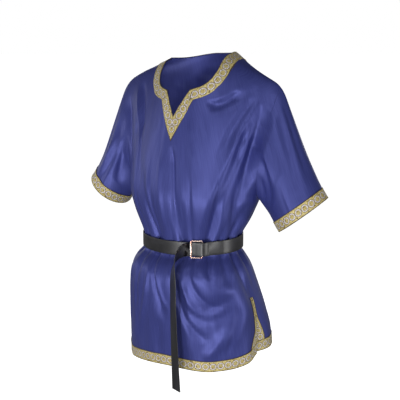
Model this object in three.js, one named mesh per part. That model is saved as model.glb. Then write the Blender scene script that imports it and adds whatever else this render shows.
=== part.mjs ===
// A short-sleeved medieval tunic, worn on a general figure, with its leather belt.
// Millimetres, +Z up, -Y the wearer's front, +X the wearer's left.
// The origin lies midway between the two points where the neckline meets the shoulder seams' line.
import * as THREE from 'three';

// ---------------------------------------------------------------- driving dimensions
const CLOTH = 1.6;                  // wall of the cloth
const SEAM = 0.4;                   // gap between two pieces that are sewn together
const RIBBON = { width: 30, thickness: 1.2, lift: 0.3 };
const UNDERARM_Z = -355;
const HEM_Z = -827;                 // hem of the section table, before the hem's own curve
const SLIT_TOP_Z = -630;
const BELT_Z = -487;
const BELT_SLOPE = { across: 0.02, forward: 0.04 };
const NECK = { x: 97, z: 11, rise: 27 };          // neck end of the shoulder seam
const SHOULDER = { x: 243, y: -4, z: -72 };       // sleeve end of the shoulder seam
const STRAP = { width: 37, thickness: 2, clearance: 0.05 };
const BUCKLE = { angle: 30.8, width: 33, height: 48, wire: 3.6, corner: 4 };
const TAIL_END_Z = -862;

// Horizontal sections of the body below the underarm: half width, half depth, centre.
const SECTIONS = [
  { z: -355, halfWidth: 191, halfDepth: 141, centreY: -38 },
  { z: -372, halfWidth: 190, halfDepth: 140, centreY: -39 },
  { z: -400, halfWidth: 178, halfDepth: 132, centreY: -40 },
  { z: -435, halfWidth: 162, halfDepth: 121, centreY: -42 },
  { z: -467, halfWidth: 142.2, halfDepth: 108.6, centreY: -47.4 },
  { z: -487, halfWidth: 141.5, halfDepth: 108, centreY: -48 },
  { z: -507, halfWidth: 142.3, halfDepth: 108.6, centreY: -48.6 },
  { z: -513, halfWidth: 143.6, halfDepth: 110, centreY: -49.6 },
  { z: -530, halfWidth: 158, halfDepth: 125, centreY: -55 },
  { z: -553, halfWidth: 171, halfDepth: 138, centreY: -55 },
  { z: -593, halfWidth: 181, halfDepth: 148, centreY: -47 },
  { z: -643, halfWidth: 191, halfDepth: 155, centreY: -35 },
  { z: -696, halfWidth: 198, halfDepth: 161, centreY: -24 },
  { z: -758, halfWidth: 205, halfDepth: 166, centreY: -13 },
  { z: -827, halfWidth: 208, halfDepth: 168, centreY: -6 },
];

// Height of the hem across each panel, from the wearer's right slit (-1) to the left slit (1).
const HEM = {
  front: [
    { u: -1, z: -806 }, { u: -0.8, z: -826 }, { u: -0.6, z: -833 }, { u: -0.3, z: -820 },
    { u: 0, z: -811 }, { u: 0.4, z: -818 }, { u: 0.7, z: -809 }, { u: 0.88, z: -798 },
    { u: 1, z: -786 },
  ],
  back: [
    { u: -1, z: -806 }, { u: -0.8, z: -800 }, { u: 0, z: -792 }, { u: 0.8, z: -779 },
    { u: 1, z: -786 },
  ],
};

// The side seams run forward of the sections' middle: degrees from the slit's top and at the hem.
const SEAM_FORWARD = { slitTop: 3, hem: 9.5 };
// The cloth is tucked in along the lower side seams.
const TUCK = { from: -560, depth: 6, reach: 24 };
// Below the slit's top the back edge turns in further than the front edge, and the upper part
// of its ribbon is hidden in the fold: the share of the ribbon's width that shows at the top.
const SLIT_TURN = { front: 5, back: 15 };
const SLIT_RIBBON_TOP = { front: 0.25, back: 0.25, narrowFrom: { front: -740, back: -670 } };
// The wearer's right side of the neckline sits lower and further back than the left.
const RIGHT_NECK = { drop: 18, back: 0.28 };
const SHOULDER_SAG = { left: 4, right: -6 };
const ARMHOLE_BULGE = { front: 43, back: 62 };
const BELT_ROW = { y: -48, reach: [35, 220] };    // where the belt's slope turns, and its reach

// Rows of the wall from the hem up to the underarm. The ribbon ends on the third row.
const BODY_ROWS = [
  -827, -812, -797, -758, -716, -673, -630, -602, -577, -553, -530, -507, -487, -467,
  -445, -418, -388, -355,
];
const RIBBON_ROWS = 2;
const UPPER_ROWS = 7;               // rows from the underarm up to the neck ribbon's outer edge

// Columns from the centre line to the side seam. Each names its place at the shoulder and the
// heights of the neckline and of the ribbon's outer edge on the front and on the back.
const COLUMNS = [
  { u: 0.0, front: -149, frontRibbon: -212, back: 6, backRibbon: -24 },
  { u: 0.05, front: -126, frontRibbon: -186, back: 6, backRibbon: -24 },
  { u: 0.1, front: -102, frontRibbon: -159, back: 6.2, backRibbon: -24 },
  { u: 0.144, front: -81, frontRibbon: -134, back: 6.5, backRibbon: -24 },
  { u: 0.2, front: -77, frontRibbon: -106, back: 7, backRibbon: -24 },
  { u: 0.26, front: -71, frontRibbon: -101, back: 7.6, backRibbon: -24 },
  { u: 0.33, front: -56, frontRibbon: -93, back: 8.8, backRibbon: -23.5 },
  { u: 0.375, front: -34, frontRibbon: -85, back: 10, backRibbon: -22 },
  { u: 0.4, front: 11, frontRibbon: -77, back: 11, backRibbon: -20 },
  { u: 0.453, frontRibbon: -60, backRibbon: -17 },
  { u: 0.485, frontRibbon: -41, backRibbon: -14.5 },
  { u: 0.506, frontRibbon: -24, backRibbon: -12 },
  { u: 0.57 }, { u: 0.63 }, { u: 0.69 }, { u: 0.75 }, { u: 0.82 },
  { u: 0.882 }, { u: 0.94 }, { u: 1 },
];
const SLIT_COLUMNS = 2;             // columns under the ribbon of the side slit

// Gathers that the belt presses in: angle round the body from the centre front towards the
// wearer's left, lean in degrees for each 100 mm away from the belt, width, depth and length.
const GATHERS_ABOVE = [
  { angle: -152, lean: 3, width: 7, depth: 9, length: 150 },
  { angle: -128, lean: -4, width: 6, depth: 8, length: 120 },
  { angle: -104, lean: 2, width: 7, depth: 9, length: 160 },
  { angle: -80, lean: -3, width: 6, depth: 8, length: 110 },
  { angle: -58, lean: 0, width: 6, depth: 8, length: 150 },
  { angle: -37, lean: -4, width: 5, depth: 7, length: 95 },
  { angle: -17, lean: -3, width: 6, depth: 10, length: 120 },
  { angle: 2, lean: 2, width: 4.5, depth: 6, length: 75 },
  { angle: 18, lean: -6, width: 5.5, depth: 9, length: 140 },
  { angle: 39, lean: 14, width: 6, depth: 11, length: 170 },
  { angle: 56, lean: 8, width: 5, depth: 7, length: 100 },
  { angle: 73, lean: 5, width: 6, depth: 11, length: 170 },
  { angle: 96, lean: 3, width: 6, depth: 8, length: 130 },
  { angle: 118, lean: -2, width: 6.5, depth: 9, length: 150 },
  { angle: 141, lean: 4, width: 6, depth: 8, length: 120 },
  { angle: 164, lean: -2, width: 7, depth: 10, length: 160 },
];
const GATHERS_BELOW = [
  { angle: -158, lean: -2, width: 7, depth: 10, length: 190 },
  { angle: -131, lean: 3, width: 6, depth: 8, length: 130 },
  { angle: -106, lean: 0, width: 7, depth: 10, length: 200 },
  { angle: -82, lean: 3, width: 6, depth: 8, length: 120 },
  { angle: -58, lean: -3, width: 6, depth: 7, length: 150 },
  { angle: -36, lean: -1, width: 5, depth: 8, length: 110 },
  { angle: -20, lean: 1, width: 5.5, depth: 11, length: 170 },
  { angle: -2, lean: 3, width: 5, depth: 7, length: 90 },
  { angle: 14, lean: 5, width: 5.5, depth: 11, length: 150 },
  { angle: 29, lean: -3, width: 4.5, depth: 7, length: 80 },
  { angle: 43, lean: 4, width: 5, depth: 8, length: 110 },
  { angle: 61, lean: 3, width: 5.5, depth: 9, length: 130 },
  { angle: 79, lean: 4, width: 5.5, depth: 12, length: 210 },
  { angle: 97, lean: 3, width: 5.5, depth: 11, length: 200 },
  { angle: 119, lean: -2, width: 6, depth: 9, length: 140 },
  { angle: 143, lean: 3, width: 7, depth: 10, length: 190 },
  { angle: 168, lean: 0, width: 6, depth: 8, length: 130 },
];

// Creases and ridges seen square to the front or back: a curve through three points, given as
// distance from the centre line and height, with its half width and its depth (a ridge is minus).
const CREASES = [
  { face: 'front', from: [214, -110], by: [199, -250], to: [141, -455], width: 17, depth: 14 },
  { face: 'front', from: [205, -163], by: [176, -330], to: [92, -455], width: 15, depth: 11 },
  { face: 'front', from: [92, -120], by: [124, -132], to: [160, -84], width: 14, depth: 6 },
  { face: 'front', from: [-176, -70], by: [-128, -290], to: [-102, -440], width: 20, depth: -7 },
  { face: 'front', from: [-212, -110], by: [-190, -230], to: [-166, -345], width: 16, depth: 9 },
  { face: 'front', from: [-150, -140], by: [-108, -290], to: [-86, -420], width: 15, depth: 5 },
  { face: 'front', from: [3, -222], by: [28, -340], to: [52, -450], width: 14, depth: 5 },
  { face: 'front', from: [58, -150], by: [84, -260], to: [96, -380], width: 20, depth: -4 },
  { face: 'front', from: [-38, -540], by: [-30, -665], to: [10, -676], width: 14, depth: 5 },
  { face: 'front', from: [48, -545], by: [82, -740], to: [176, -600], width: 19, depth: 8 },
  { face: 'front', from: [189, -590], by: [186, -700], to: [140, -775], width: 20, depth: -7 },
  { face: 'front', from: [-96, -560], by: [-112, -690], to: [-128, -800], width: 20, depth: -5 },
  { face: 'front', from: [60, -600], by: [66, -700], to: [60, -800], width: 22, depth: -4 },
  { face: 'back', from: [-206, -120], by: [-184, -250], to: [-120, -450], width: 17, depth: 12 },
  { face: 'back', from: [208, -120], by: [180, -270], to: [112, -450], width: 16, depth: 11 },
  { face: 'back', from: [-60, -60], by: [0, -110], to: [70, -64], width: 16, depth: 6 },
  { face: 'back', from: [-52, -150], by: [-44, -300], to: [-34, -440], width: 20, depth: 6 },
  { face: 'back', from: [46, -170], by: [58, -300], to: [40, -450], width: 18, depth: 6 },
  { face: 'back', from: [-150, -560], by: [-70, -720], to: [20, -600], width: 20, depth: 7 },
  { face: 'back', from: [96, -560], by: [120, -690], to: [116, -790], width: 20, depth: 7 },
  { face: 'back', from: [-168, -600], by: [-176, -700], to: [-150, -790], width: 20, depth: -6 },
];

// Sleeve folds: angle round the sleeve from its front towards its top, start and end along its
// length (0 at the armhole, 1 at the cuff), width in degrees and depth.
const SLEEVE_FOLDS = [
  { angle: -38, from: -0.2, to: 0.62, width: 17, depth: 11 },
  { angle: 2, from: -0.2, to: 0.5, width: 13, depth: 7 },
  { angle: 34, from: 0.05, to: 0.86, width: 13, depth: 5 },
  { angle: 62, from: 0.1, to: 0.8, width: 11, depth: 4 },
  { angle: 128, from: 0.0, to: 0.8, width: 14, depth: 6 },
  { angle: 160, from: -0.2, to: 0.55, width: 13, depth: 8 },
  { angle: 205, from: -0.1, to: 0.66, width: 15, depth: 9 },
];
const CUFFS = {
  left: { hand: 1, x: 316, y: -20, z: -394, halfHeight: 79, halfDepth: 58, lean: 37, swell: 0,
    tilt: 9 },
  right: { hand: -1, x: 297, y: -20, z: -379, halfHeight: 63, halfDepth: 69, lean: 41, swell: 0.4,
    tilt: 0 },
};
const SLEEVE_ROWS = 9;

const FINISHES = {
  cloth: { color: '#4a4a8c', roughness: 0.55, metalness: 0 },
  ribbon: { color: '#b9a565', roughness: 0.6, metalness: 0.1 },
  leather: { color: '#36363b', roughness: 0.45, metalness: 0 },
  metal: { color: '#b58d82', roughness: 0.25, metalness: 1 },
};

// ---------------------------------------------------------------- small helpers
const radians = THREE.MathUtils.degToRad;
const clamp = THREE.MathUtils.clamp;
const smooth = (value, low, high) => THREE.MathUtils.smoothstep(value, low, high);
const bell = (distance, width) => Math.exp(-((distance / width) ** 2));

/** The section at a height, by a cubic through the rows of the table. */
function sectionAt(z) {
  const last = SECTIONS.length - 1;
  let row = 0;
  while (row < last - 1 && SECTIONS[row + 1].z > z) row += 1;
  const [before, low, high, after] = [row - 1, row, row + 1, row + 2]
    .map((index) => SECTIONS[clamp(index, 0, last)]);
  const span = high.z - low.z;
  const t = clamp((z - low.z) / span, 0, 1);
  const blend = (name) => {
    const startSlope = ((high[name] - before[name]) / (high.z - before.z || 1)) * span;
    const endSlope = ((after[name] - low[name]) / (after.z - low.z || 1)) * span;
    return (2 * t ** 3 - 3 * t ** 2 + 1) * low[name] + (t ** 3 - 2 * t ** 2 + t) * startSlope
      + (3 * t ** 2 - 2 * t ** 3) * high[name] + (t ** 3 - t ** 2) * endSlope;
  };
  return { a: blend('halfWidth'), b: blend('halfDepth'), y: blend('centreY') };
}

/** How far the belt's slope lifts a point: the belt sits lower in front. */
function beltSlope(x, y, z) {
  const reach = 1 - smooth(Math.abs(z - BELT_Z), ...BELT_ROW.reach);
  return (BELT_SLOPE.across * x + BELT_SLOPE.forward * (y - BELT_ROW.y)) * reach;
}

/** Height of the hem over the sections' lowest row. */
function hemLift(side, u) {
  const rows = side < 0 ? HEM.front : HEM.back;
  const next = Math.max(rows.findIndex((row) => row.u >= u - 1e-9), 1);
  const [low, high] = [rows[next - 1], rows[next]];
  return THREE.MathUtils.lerp(low.z, high.z, (u - low.u) / (high.u - low.u)) - HEM_Z;
}

/** Half of a panel's turn round the body at a height, in radians. */
function halfTurn(side, z) {
  const above = SEAM_FORWARD.slitTop * (1 - smooth(z, SLIT_TOP_Z, UNDERARM_Z));
  const below = (SEAM_FORWARD.hem - SEAM_FORWARD.slitTop) * (1 - smooth(z, HEM_Z, SLIT_TOP_Z));
  return radians(90 + side * (above + below));
}

/** Depth of the belt's gathers at an angle and a height. */
function gatherDepth(angle, z) {
  const away = Math.abs(z - BELT_Z);
  const rows = z > BELT_Z ? GATHERS_ABOVE : GATHERS_BELOW;
  return rows.reduce((sum, row) => {
    const fade = clamp(1 - away / row.length, 0, 1) ** 1.2;
    const centre = row.angle + (row.lean * away) / 100;
    const turn = THREE.MathUtils.euclideanModulo(angle - centre + 180, 360) - 180;
    const spread = row.width * (1 + away / 200);
    return sum + row.depth * fade * bell(turn, spread);
  }, 0);
}

/** Depth of the creases at a place seen square to one face. */
function creaseDepth(face, x, z) {
  return CREASES.filter((crease) => crease.face === face).reduce((sum, crease) => {
    let nearest = Infinity;
    let place = 0;
    for (let step = 0; step <= 12; step += 1) {
      const t = step / 12;
      const [px, pz] = [0, 1].map((axis) => (1 - t) ** 2 * crease.from[axis]
        + 2 * t * (1 - t) * crease.by[axis] + t ** 2 * crease.to[axis]);
      const distance = Math.hypot(x - px, z - pz);
      if (distance < nearest) [nearest, place] = [distance, t];
    }
    const ends = smooth(place, -0.02, 0.2) * (1 - smooth(place, 0.75, 1.02));
    return sum + crease.depth * ends * bell(nearest, crease.width);
  }, 0);
}

/** How far the surface moves out at a place; nothing stands proud under the belt. */
function relief(side, u, x, z) {
  const angle = side < 0 ? 90 * u : Math.sign(u || 1) * (180 - 90 * Math.abs(u));
  const seam = 1 - Math.abs(u) ** 12;
  const amount = -gatherDepth(angle, z) - creaseDepth(side < 0 ? 'front' : 'back', x, z) * seam;
  return Math.abs(z - BELT_Z) < 32 ? Math.min(amount, 0) : amount;
}

// ---------------------------------------------------------------- body surface
/** A point of the body below the underarm; u runs from one side seam (-1) to the other (1). */
function lowerPoint(side, u, tableZ) {
  const { a, b, y: centre } = sectionAt(tableZ);
  const turn = u * halfTurn(side, tableZ);
  const x = a * Math.sin(turn);
  const y = centre + side * b * Math.cos(turn);
  const lift = tableZ < SLIT_TOP_Z
    ? hemLift(side, u) * clamp((SLIT_TOP_Z - tableZ) / (SLIT_TOP_Z - HEM_Z - RIBBON.width), 0, 1)
    : 0;
  const z = tableZ + lift + beltSlope(x, y, tableZ);
  const out = new THREE.Vector3(Math.sin(turn) / a, side * Math.cos(turn) / b, 0).normalize();
  const point = new THREE.Vector3(x, y, z).addScaledVector(out, relief(side, u, x, tableZ));
  const fromSeam = (1 - Math.abs(u)) * halfTurn(side, tableZ) * b;
  const tuck = TUCK.depth * (1 - smooth(tableZ, SLIT_TOP_Z, TUCK.from))
    * bell(fromSeam, TUCK.reach);
  point.x -= Math.sign(u) * tuck;
  const edge = smooth(Math.abs(u), 0.8, 1) * (1 - smooth(tableZ, HEM_Z, SLIT_TOP_Z));
  point.x -= Math.sign(u) * SLIT_TURN[side < 0 ? 'front' : 'back'] * edge;
  return point;
}

/** Height of the shoulder line over a place across the body. */
function shoulderHeight(x) {
  const across = Math.abs(x);
  if (across < NECK.x) return NECK.z + NECK.rise * (1 - (across / NECK.x) ** 2);
  const slope = (SHOULDER.z - NECK.z) / (SHOULDER.x - NECK.x);
  return NECK.z + slope * (across - NECK.x);
}

/** A point of the body over the underarm; rise runs from the underarm (0) to the shoulder (1). */
function upperPoint(side, u, rise) {
  const ring = sectionAt(UNDERARM_Z);
  const turn = (u * Math.PI) / 2;
  const topX = SHOULDER.x * u;
  const topY = SHOULDER.y * smooth(Math.abs(u), 0.4, 1);
  const ringY = ring.y + side * ring.b * Math.cos(turn);
  const lean = side < 0 ? 0.4 : 0.12;
  const roll = side < 0 ? 5 : 8;
  const edge = Math.min(Math.abs(u), 1) ** (side < 0 ? 5 : 3);
  const rolled = (1 - lean * rise) * Math.max(1 - rise ** roll, 0) ** 0.45;
  const shape = THREE.MathUtils.lerp(rolled, 1 - rise, edge);
  const bulge = side * ARMHOLE_BULGE[side < 0 ? 'front' : 'back'] * edge
    * Math.max(Math.sin(Math.PI * rise), 0) ** 0.8;
  const rightSide = smooth(-u, -0.05, 0.4) * rise ** 2;
  const setBack = side < 0 ? RIGHT_NECK.back * rightSide * (1 - smooth(-u, 0.5, 0.95)) : 0;
  const x = THREE.MathUtils.lerp(ring.a * Math.sin(turn), topX, rise);
  const y = topY + (ringY - topY) * shape * (1 - setBack) + bulge;
  const alongSeam = clamp((Math.abs(topX) - NECK.x) / (SHOULDER.x - NECK.x), 0, 1);
  const sag = SHOULDER_SAG[u < 0 ? 'right' : 'left'] * Math.sin(Math.PI * alongSeam);
  const z = THREE.MathUtils.lerp(UNDERARM_Z, shoulderHeight(topX), rise) - sag * rise ** 3
    - RIGHT_NECK.drop * rightSide * (1 - 0.75 * smooth(-u, 0.5, 1));
  const out = new THREE.Vector3(Math.sin(turn) / ring.a, side * Math.cos(turn) / ring.b, 0)
    .normalize().lerp(new THREE.Vector3(0, side, 0), rise).normalize();
  const amount = relief(side, u, x, z) * (1 - rise ** 6);
  return new THREE.Vector3(x, y, z + beltSlope(x, y, z) * (1 - rise))
    .addScaledVector(out, amount);
}

/** Share of the way from the underarm to the shoulder line at which a height lies. */
function riseAt(u, z) {
  return (z - UNDERARM_Z) / (shoulderHeight(SHOULDER.x * u) - UNDERARM_Z);
}

/** A point of a body panel: below the underarm by the table's height, over it by its rise. */
function panelPoint(side, u, { tableZ, rise }) {
  const point = rise === undefined ? lowerPoint(side, u, tableZ) : upperPoint(side, u, rise);
  point.y += (side * SEAM) / 2;
  return point;
}

/** The panel's outward direction at a place, from two short steps along its surface. */
function panelNormal(side, u, { tableZ, rise }) {
  const [ahead, behind] = rise === undefined
    ? [{ tableZ: tableZ + 1.5 }, { tableZ: tableZ - 1.5 }]
    : [{ rise: Math.min(rise + 0.004, 1) }, { rise: Math.max(rise - 0.004, 0) }];
  const along = panelPoint(side, u, ahead).sub(panelPoint(side, u, behind));
  const level = { tableZ, rise };
  const across = panelPoint(side, u + 0.004, level).sub(panelPoint(side, u - 0.004, level));
  return across.cross(along).multiplyScalar(-side).normalize();
}

/** Moves a column beside the slit outwards, so that the slit's ribbon narrows to its top. */
function ribbonColumn(side, u, tableZ) {
  if (tableZ === undefined) return u;
  const name = side < 0 ? 'front' : 'back';
  const narrow = (1 - SLIT_RIBBON_TOP[name])
    * smooth(tableZ, HEM_Z + RIBBON.width, SLIT_RIBBON_TOP.narrowFrom[name])
    * (1 - smooth(tableZ, SLIT_TOP_Z, BELT_Z));
  const share = smooth(Math.abs(u), 0.66, 0.882);
  return u + Math.sign(u) * (1 - Math.abs(u)) * narrow * share;
}

/** Places on a body panel: columns from right to left, rows from the hem to the neck. */
function panelPlaces(side) {
  const half = COLUMNS.slice(1).reverse().map((column) => ({ ...column, u: -column.u }));
  const columns = [...half, ...COLUMNS];
  const names = side < 0 ? ['front', 'frontRibbon'] : ['back', 'backRibbon'];
  return columns.map((column) => {
    const [neck, ribbon] = names.map((name) => column[name]);
    const ridge = shoulderHeight(SHOULDER.x * column.u);
    const top = neck === undefined ? 1 : riseAt(column.u, neck);
    const shelf = riseAt(column.u, ribbon ?? ridge - RIBBON.width);
    const rises = Array.from({ length: UPPER_ROWS }, (_, row) => (
      (shelf * (row + 1)) / UPPER_ROWS));
    const levels = [
      ...BODY_ROWS.map((tableZ) => ({ tableZ })),
      ...[...rises, (shelf + top) / 2, top].map((rise) => ({ rise })),
    ];
    return levels.map((level) => ({ u: ribbonColumn(side, column.u, level.tableZ), level }));
  });
}

/** Outward normals of a tube's grid by differences; its last column meets its first. */
function tubeNormals(grid, side) {
  const wide = grid.length;
  return grid.map((column, i) => column.map((point, j) => {
    const across = grid[(i + 1) % wide][j].clone().sub(grid[(i + wide - 1) % wide][j]);
    const along = column[Math.min(j + 1, column.length - 1)].clone()
      .sub(column[Math.max(j - 1, 0)]);
    return across.cross(along).multiplyScalar(-side).normalize();
  }));
}

// ---------------------------------------------------------------- walls
/** A closed wall over faces that share points: from `low` to `high` along each normal. */
function thicken(points, normals, faces, low, high) {
  const used = [...new Set(faces.flat())];
  const place = new Map(used.map((index, order) => [index, order]));
  const count = used.length;
  const positions = [low, high].flatMap((offset) => used.flatMap((index) => (
    points[index].clone().addScaledVector(normals[index], offset).toArray())));
  const triangles = [];
  const edges = new Map();
  faces.forEach((face) => {
    const ring = face.map((index) => place.get(index));
    triangles.push(ring[0] + count, ring[1] + count, ring[2] + count, ring[0], ring[2], ring[1]);
    triangles.push(ring[0] + count, ring[2] + count, ring[3] + count, ring[0], ring[3], ring[2]);
    ring.forEach((index, corner) => {
      const next = ring[(corner + 1) % ring.length];
      if (edges.has(`${next},${index}`)) edges.delete(`${next},${index}`);
      else edges.set(`${index},${next}`, [index, next]);
    });
  });
  edges.forEach(([a, b]) => triangles.push(a, b, b + count, a, b + count, a + count));
  const geometry = new THREE.BufferGeometry();
  geometry.setAttribute('position', new THREE.Float32BufferAttribute(positions, 3));
  geometry.setIndex(triangles);
  geometry.computeVertexNormals();
  return geometry;
}

/** The faces of a grid's cells, turned so that they face out. */
function gridFaces(wide, high, side, keep = () => true, closed = false) {
  const faces = [];
  const last = closed ? wide : wide - 1;
  for (let i = 0; i < last; i += 1) {
    for (let j = 0; j < high - 1; j += 1) {
      const next = ((i + 1) % wide) * high;
      const cell = [i * high + j, next + j, next + j + 1, i * high + j + 1];
      if (keep(i, j)) faces.push(side < 0 ? cell : cell.reverse());
    }
  }
  return faces;
}

const group = new THREE.Group();

/** Names a piece, gives it its finish and adds it to the garment. */
function addPiece(name, geometry, finish) {
  const mesh = new THREE.Mesh(geometry, new THREE.MeshStandardMaterial(FINISHES[finish]));
  mesh.name = name;
  group.add(mesh);
  return mesh;
}

// ---------------------------------------------------------------- front and back surfaces
const panels = [-1, 1].map((side) => {
  const places = panelPlaces(side);
  const grid = places.map((column) => column.map(({ u, level }) => (
    panelPoint(side, u, level))));
  const normals = places.map((column) => column.map(({ u, level }) => (
    panelNormal(side, u, level))));
  const [high, wide] = [grid[0].length, grid.length];
  const slitRow = BODY_ROWS.indexOf(SLIT_TOP_Z);
  const underarmRow = BODY_ROWS.length - 1;
  const neckColumn = COLUMNS.findIndex((column) => column.u === 0.4);
  const shoulderSeam = (i) => Math.abs(i - (wide - 1) / 2) >= neckColumn;
  // Where two pieces are sewn together their ends are square to the seam.
  normals.forEach((column, i) => column.forEach((normal, j) => {
    const sideSeam = (i === 0 || i === wide - 1) && j <= underarmRow;
    if (sideSeam || (j === high - 1 && shoulderSeam(i))) normal.setY(0).normalize();
  }));
  return { side, grid, normals, high, wide, slitRow, underarmRow, neckColumn };
});

// ---------------------------------------------------------------- sleeves' surfaces
/** Middle of two places of the armhole, where the front and the back meet. */
function meeting(a, b) {
  return {
    point: a.point.clone().add(b.point).multiplyScalar(0.5),
    onward: a.onward.clone().add(b.onward).normalize(),
    normals: [...a.normals, ...b.normals],
  };
}

/**
 * The armhole's edge, from the underarm up the front and down the back to the underarm: each
 * place with the direction in which the panel leaves off there and the panel's normal.
 */
function armholeLoop(hand) {
  const [front, back] = panels.map(({ grid, normals, wide, underarmRow }) => {
    const [edge, beside] = hand > 0 ? [wide - 1, wide - 2] : [0, 1];
    return grid[edge].slice(underarmRow).map((point, row) => ({
      point,
      onward: point.clone().sub(grid[beside][underarmRow + row]).normalize(),
      normals: [normals[edge][underarmRow + row]],
    }));
  });
  const last = front.length - 1;
  return [
    meeting(front[0], back[0]), ...front.slice(1, last),
    meeting(front[last], back[last]), ...back.slice(1, last).reverse(),
  ];
}

/** How deep the sleeve's folds are at an angle round it and a place along it. */
function sleeveFoldDepth(angle, place) {
  return SLEEVE_FOLDS.reduce((sum, fold) => {
    const gap = THREE.MathUtils.euclideanModulo(angle - fold.angle + 180, 360) - 180;
    const along = (place - fold.from) / (fold.to - fold.from);
    const ends = along > 0 && along < 1 ? Math.sin(Math.PI * along) ** 0.8 : 0;
    return sum + fold.depth * ends * bell(gap, fold.width);
  }, 0) * smooth(place, 0, 0.12);
}

/** Grid of a sleeve: each column runs from the armhole to the cuff. */
function sleeveGrid(cuff, loop) {
  const { hand } = cuff;
  const lean = radians(cuff.lean);
  const down = new THREE.Vector3(hand * Math.sin(lean), 0, -Math.cos(lean));
  const over = new THREE.Vector3(hand * Math.cos(lean), 0, Math.sin(lean));
  const centre = new THREE.Vector3(hand * cuff.x, cuff.y, cuff.z);
  return loop.map(({ point: start, onward }, index) => {
    const angle = -90 + (360 * index) / loop.length;
    const turn = radians(angle);
    const out = new THREE.Vector3(0, -Math.cos(turn), 0).addScaledVector(over, Math.sin(turn));
    const end = centre.clone().addScaledVector(over, cuff.halfHeight * Math.sin(turn));
    end.y -= cuff.halfDepth * Math.cos(turn);
    end.addScaledVector(down, cuff.tilt * Math.cos(turn));
    const chord = end.clone().sub(start);
    const length = chord.length();
    const spring = 0.9 * Math.cos(turn) ** 2 + cuff.swell * Math.max(Math.sin(turn), 0) ** 2;
    const leave = chord.normalize().addScaledVector(onward, spring).normalize();
    const begin = start.clone().addScaledVector(onward.clone().add(leave).normalize(), 2 * SEAM);
    const curve = new THREE.CubicBezierCurve3(begin,
      begin.clone().addScaledVector(leave, length * 0.22),
      end.clone().addScaledVector(down, -length * 0.3), end);
    const ribbonStart = 1 - RIBBON.width / length;
    const places = Array.from({ length: SLEEVE_ROWS }, (_, row) => (
      (ribbonStart * row) / (SLEEVE_ROWS - 1)));
    return [...places, (ribbonStart + 1) / 2, 1].map((place) => (
      curve.getPointAt(place).addScaledVector(out, -sleeveFoldDepth(angle, place))));
  });
}

const sleeves = Object.entries(CUFFS).map(([name, cuff]) => {
  const loop = armholeLoop(cuff.hand);
  const grid = sleeveGrid(cuff, loop);
  const normals = tubeNormals(grid, cuff.hand);
  // The sleeve and the panel end square to the same line, so that the seam's gap stays even.
  loop.forEach((place, index) => {
    if (index === 0) return;
    const atTip = place.normals.length > 1;
    const shared = atTip ? new THREE.Vector3() : normals[index][0].clone();
    place.normals.forEach((normal) => shared.add(normal));
    normals[index][0].copy(shared.normalize());
    if (!atTip) place.normals[0].copy(shared);
  });
  return { name, hand: cuff.hand, grid, normals, wide: grid.length, high: grid[0].length };
});

// ---------------------------------------------------------------- panels with hem ribbons
panels.forEach(({ side, grid, normals, high, wide, slitRow }) => {
  const name = side < 0 ? 'front' : 'back';
  const [points, outward] = [grid.flat(), normals.flat()];
  addPiece(`${name}_panel`,
    thicken(points, outward, gridFaces(wide, high, side), -CLOTH, 0), 'cloth');
  const ribbon = (i, j) => j < RIBBON_ROWS
    || (j < slitRow && (i < SLIT_COLUMNS || i >= wide - 1 - SLIT_COLUMNS));
  addPiece(`hem_trim_${name}`, thicken(points, outward, gridFaces(wide, high, side, ribbon),
    RIBBON.lift, RIBBON.lift + RIBBON.thickness), 'ribbon');
});

// ---------------------------------------------------------------- neck ribbon
{
  const [front, back] = panels;
  const { high, wide, neckColumn } = front;
  const middle = (wide - 1) / 2;
  const outer = COLUMNS.findIndex((column) => column.u === 0.506);
  const shelf = high - 3;
  const points = [...front.grid.flat(), ...back.grid.flat()].map((point) => point.clone());
  const normals = [...front.normals.flat(), ...back.normals.flat()];
  const share = points.map((_, index) => index);
  const total = wide * high;
  for (let i = 0; i < wide; i += 1) {
    const away = Math.abs(i - middle);
    if (away >= neckColumn && away <= outer) {
      const top = i * high + high - 1;
      share[total + top] = top;
      points[top].y = (points[top].y + points[total + top].y) / 2;
    }
  }
  const ribbon = (i, j) => j >= shelf && i >= middle - outer && i < middle + outer;
  const faces = [
    ...gridFaces(wide, high, -1, ribbon),
    ...gridFaces(wide, high, 1, ribbon).map((face) => face.map((index) => index + total)),
  ].map((face) => face.map((index) => share[index]));
  addPiece('neck_trim',
    thicken(points, normals, faces, RIBBON.lift, RIBBON.lift + RIBBON.thickness), 'ribbon');
}

// ---------------------------------------------------------------- sleeves and cuff ribbons
sleeves.forEach(({ name, hand, grid, normals, wide, high }) => {
  const [points, outward] = [grid.flat(), normals.flat()];
  const cuffRows = (i, j) => j >= high - 1 - RIBBON_ROWS;
  addPiece(`sleeve_${name}`, thicken(points, outward,
    gridFaces(wide, high, hand, () => true, true), -CLOTH, 0), 'cloth');
  addPiece(`cuff_trim_${name}`, thicken(points, outward,
    gridFaces(wide, high, hand, cuffRows, true),
    RIBBON.lift, RIBBON.lift + RIBBON.thickness), 'ribbon');
});

// ---------------------------------------------------------------- belt
/** Place and outward direction on the belt's line at an angle from the centre front. */
function beltPlace(angle) {
  const ring = sectionAt(BELT_Z);
  const turn = radians(angle);
  const grow = CLOTH + STRAP.clearance;
  const [a, b] = [ring.a + grow, ring.b + grow];
  const point = new THREE.Vector3(a * Math.sin(turn), ring.y - b * Math.cos(turn), 0);
  point.z = BELT_Z + beltSlope(point.x, point.y, BELT_Z);
  const out = new THREE.Vector3(Math.sin(turn) / a, -Math.cos(turn) / b, 0).normalize();
  const speed = radians(1) * Math.hypot(a * Math.cos(turn), b * Math.sin(turn));
  return { point, out, speed };
}

/** A place given by its distance along the belt from the buckle and its height over the cloth. */
function nearBuckle(distance, height) {
  const { speed } = beltPlace(BUCKLE.angle);
  const { point, out } = beltPlace(BUCKLE.angle + distance / speed);
  return point.addScaledVector(out, height);
}

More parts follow.
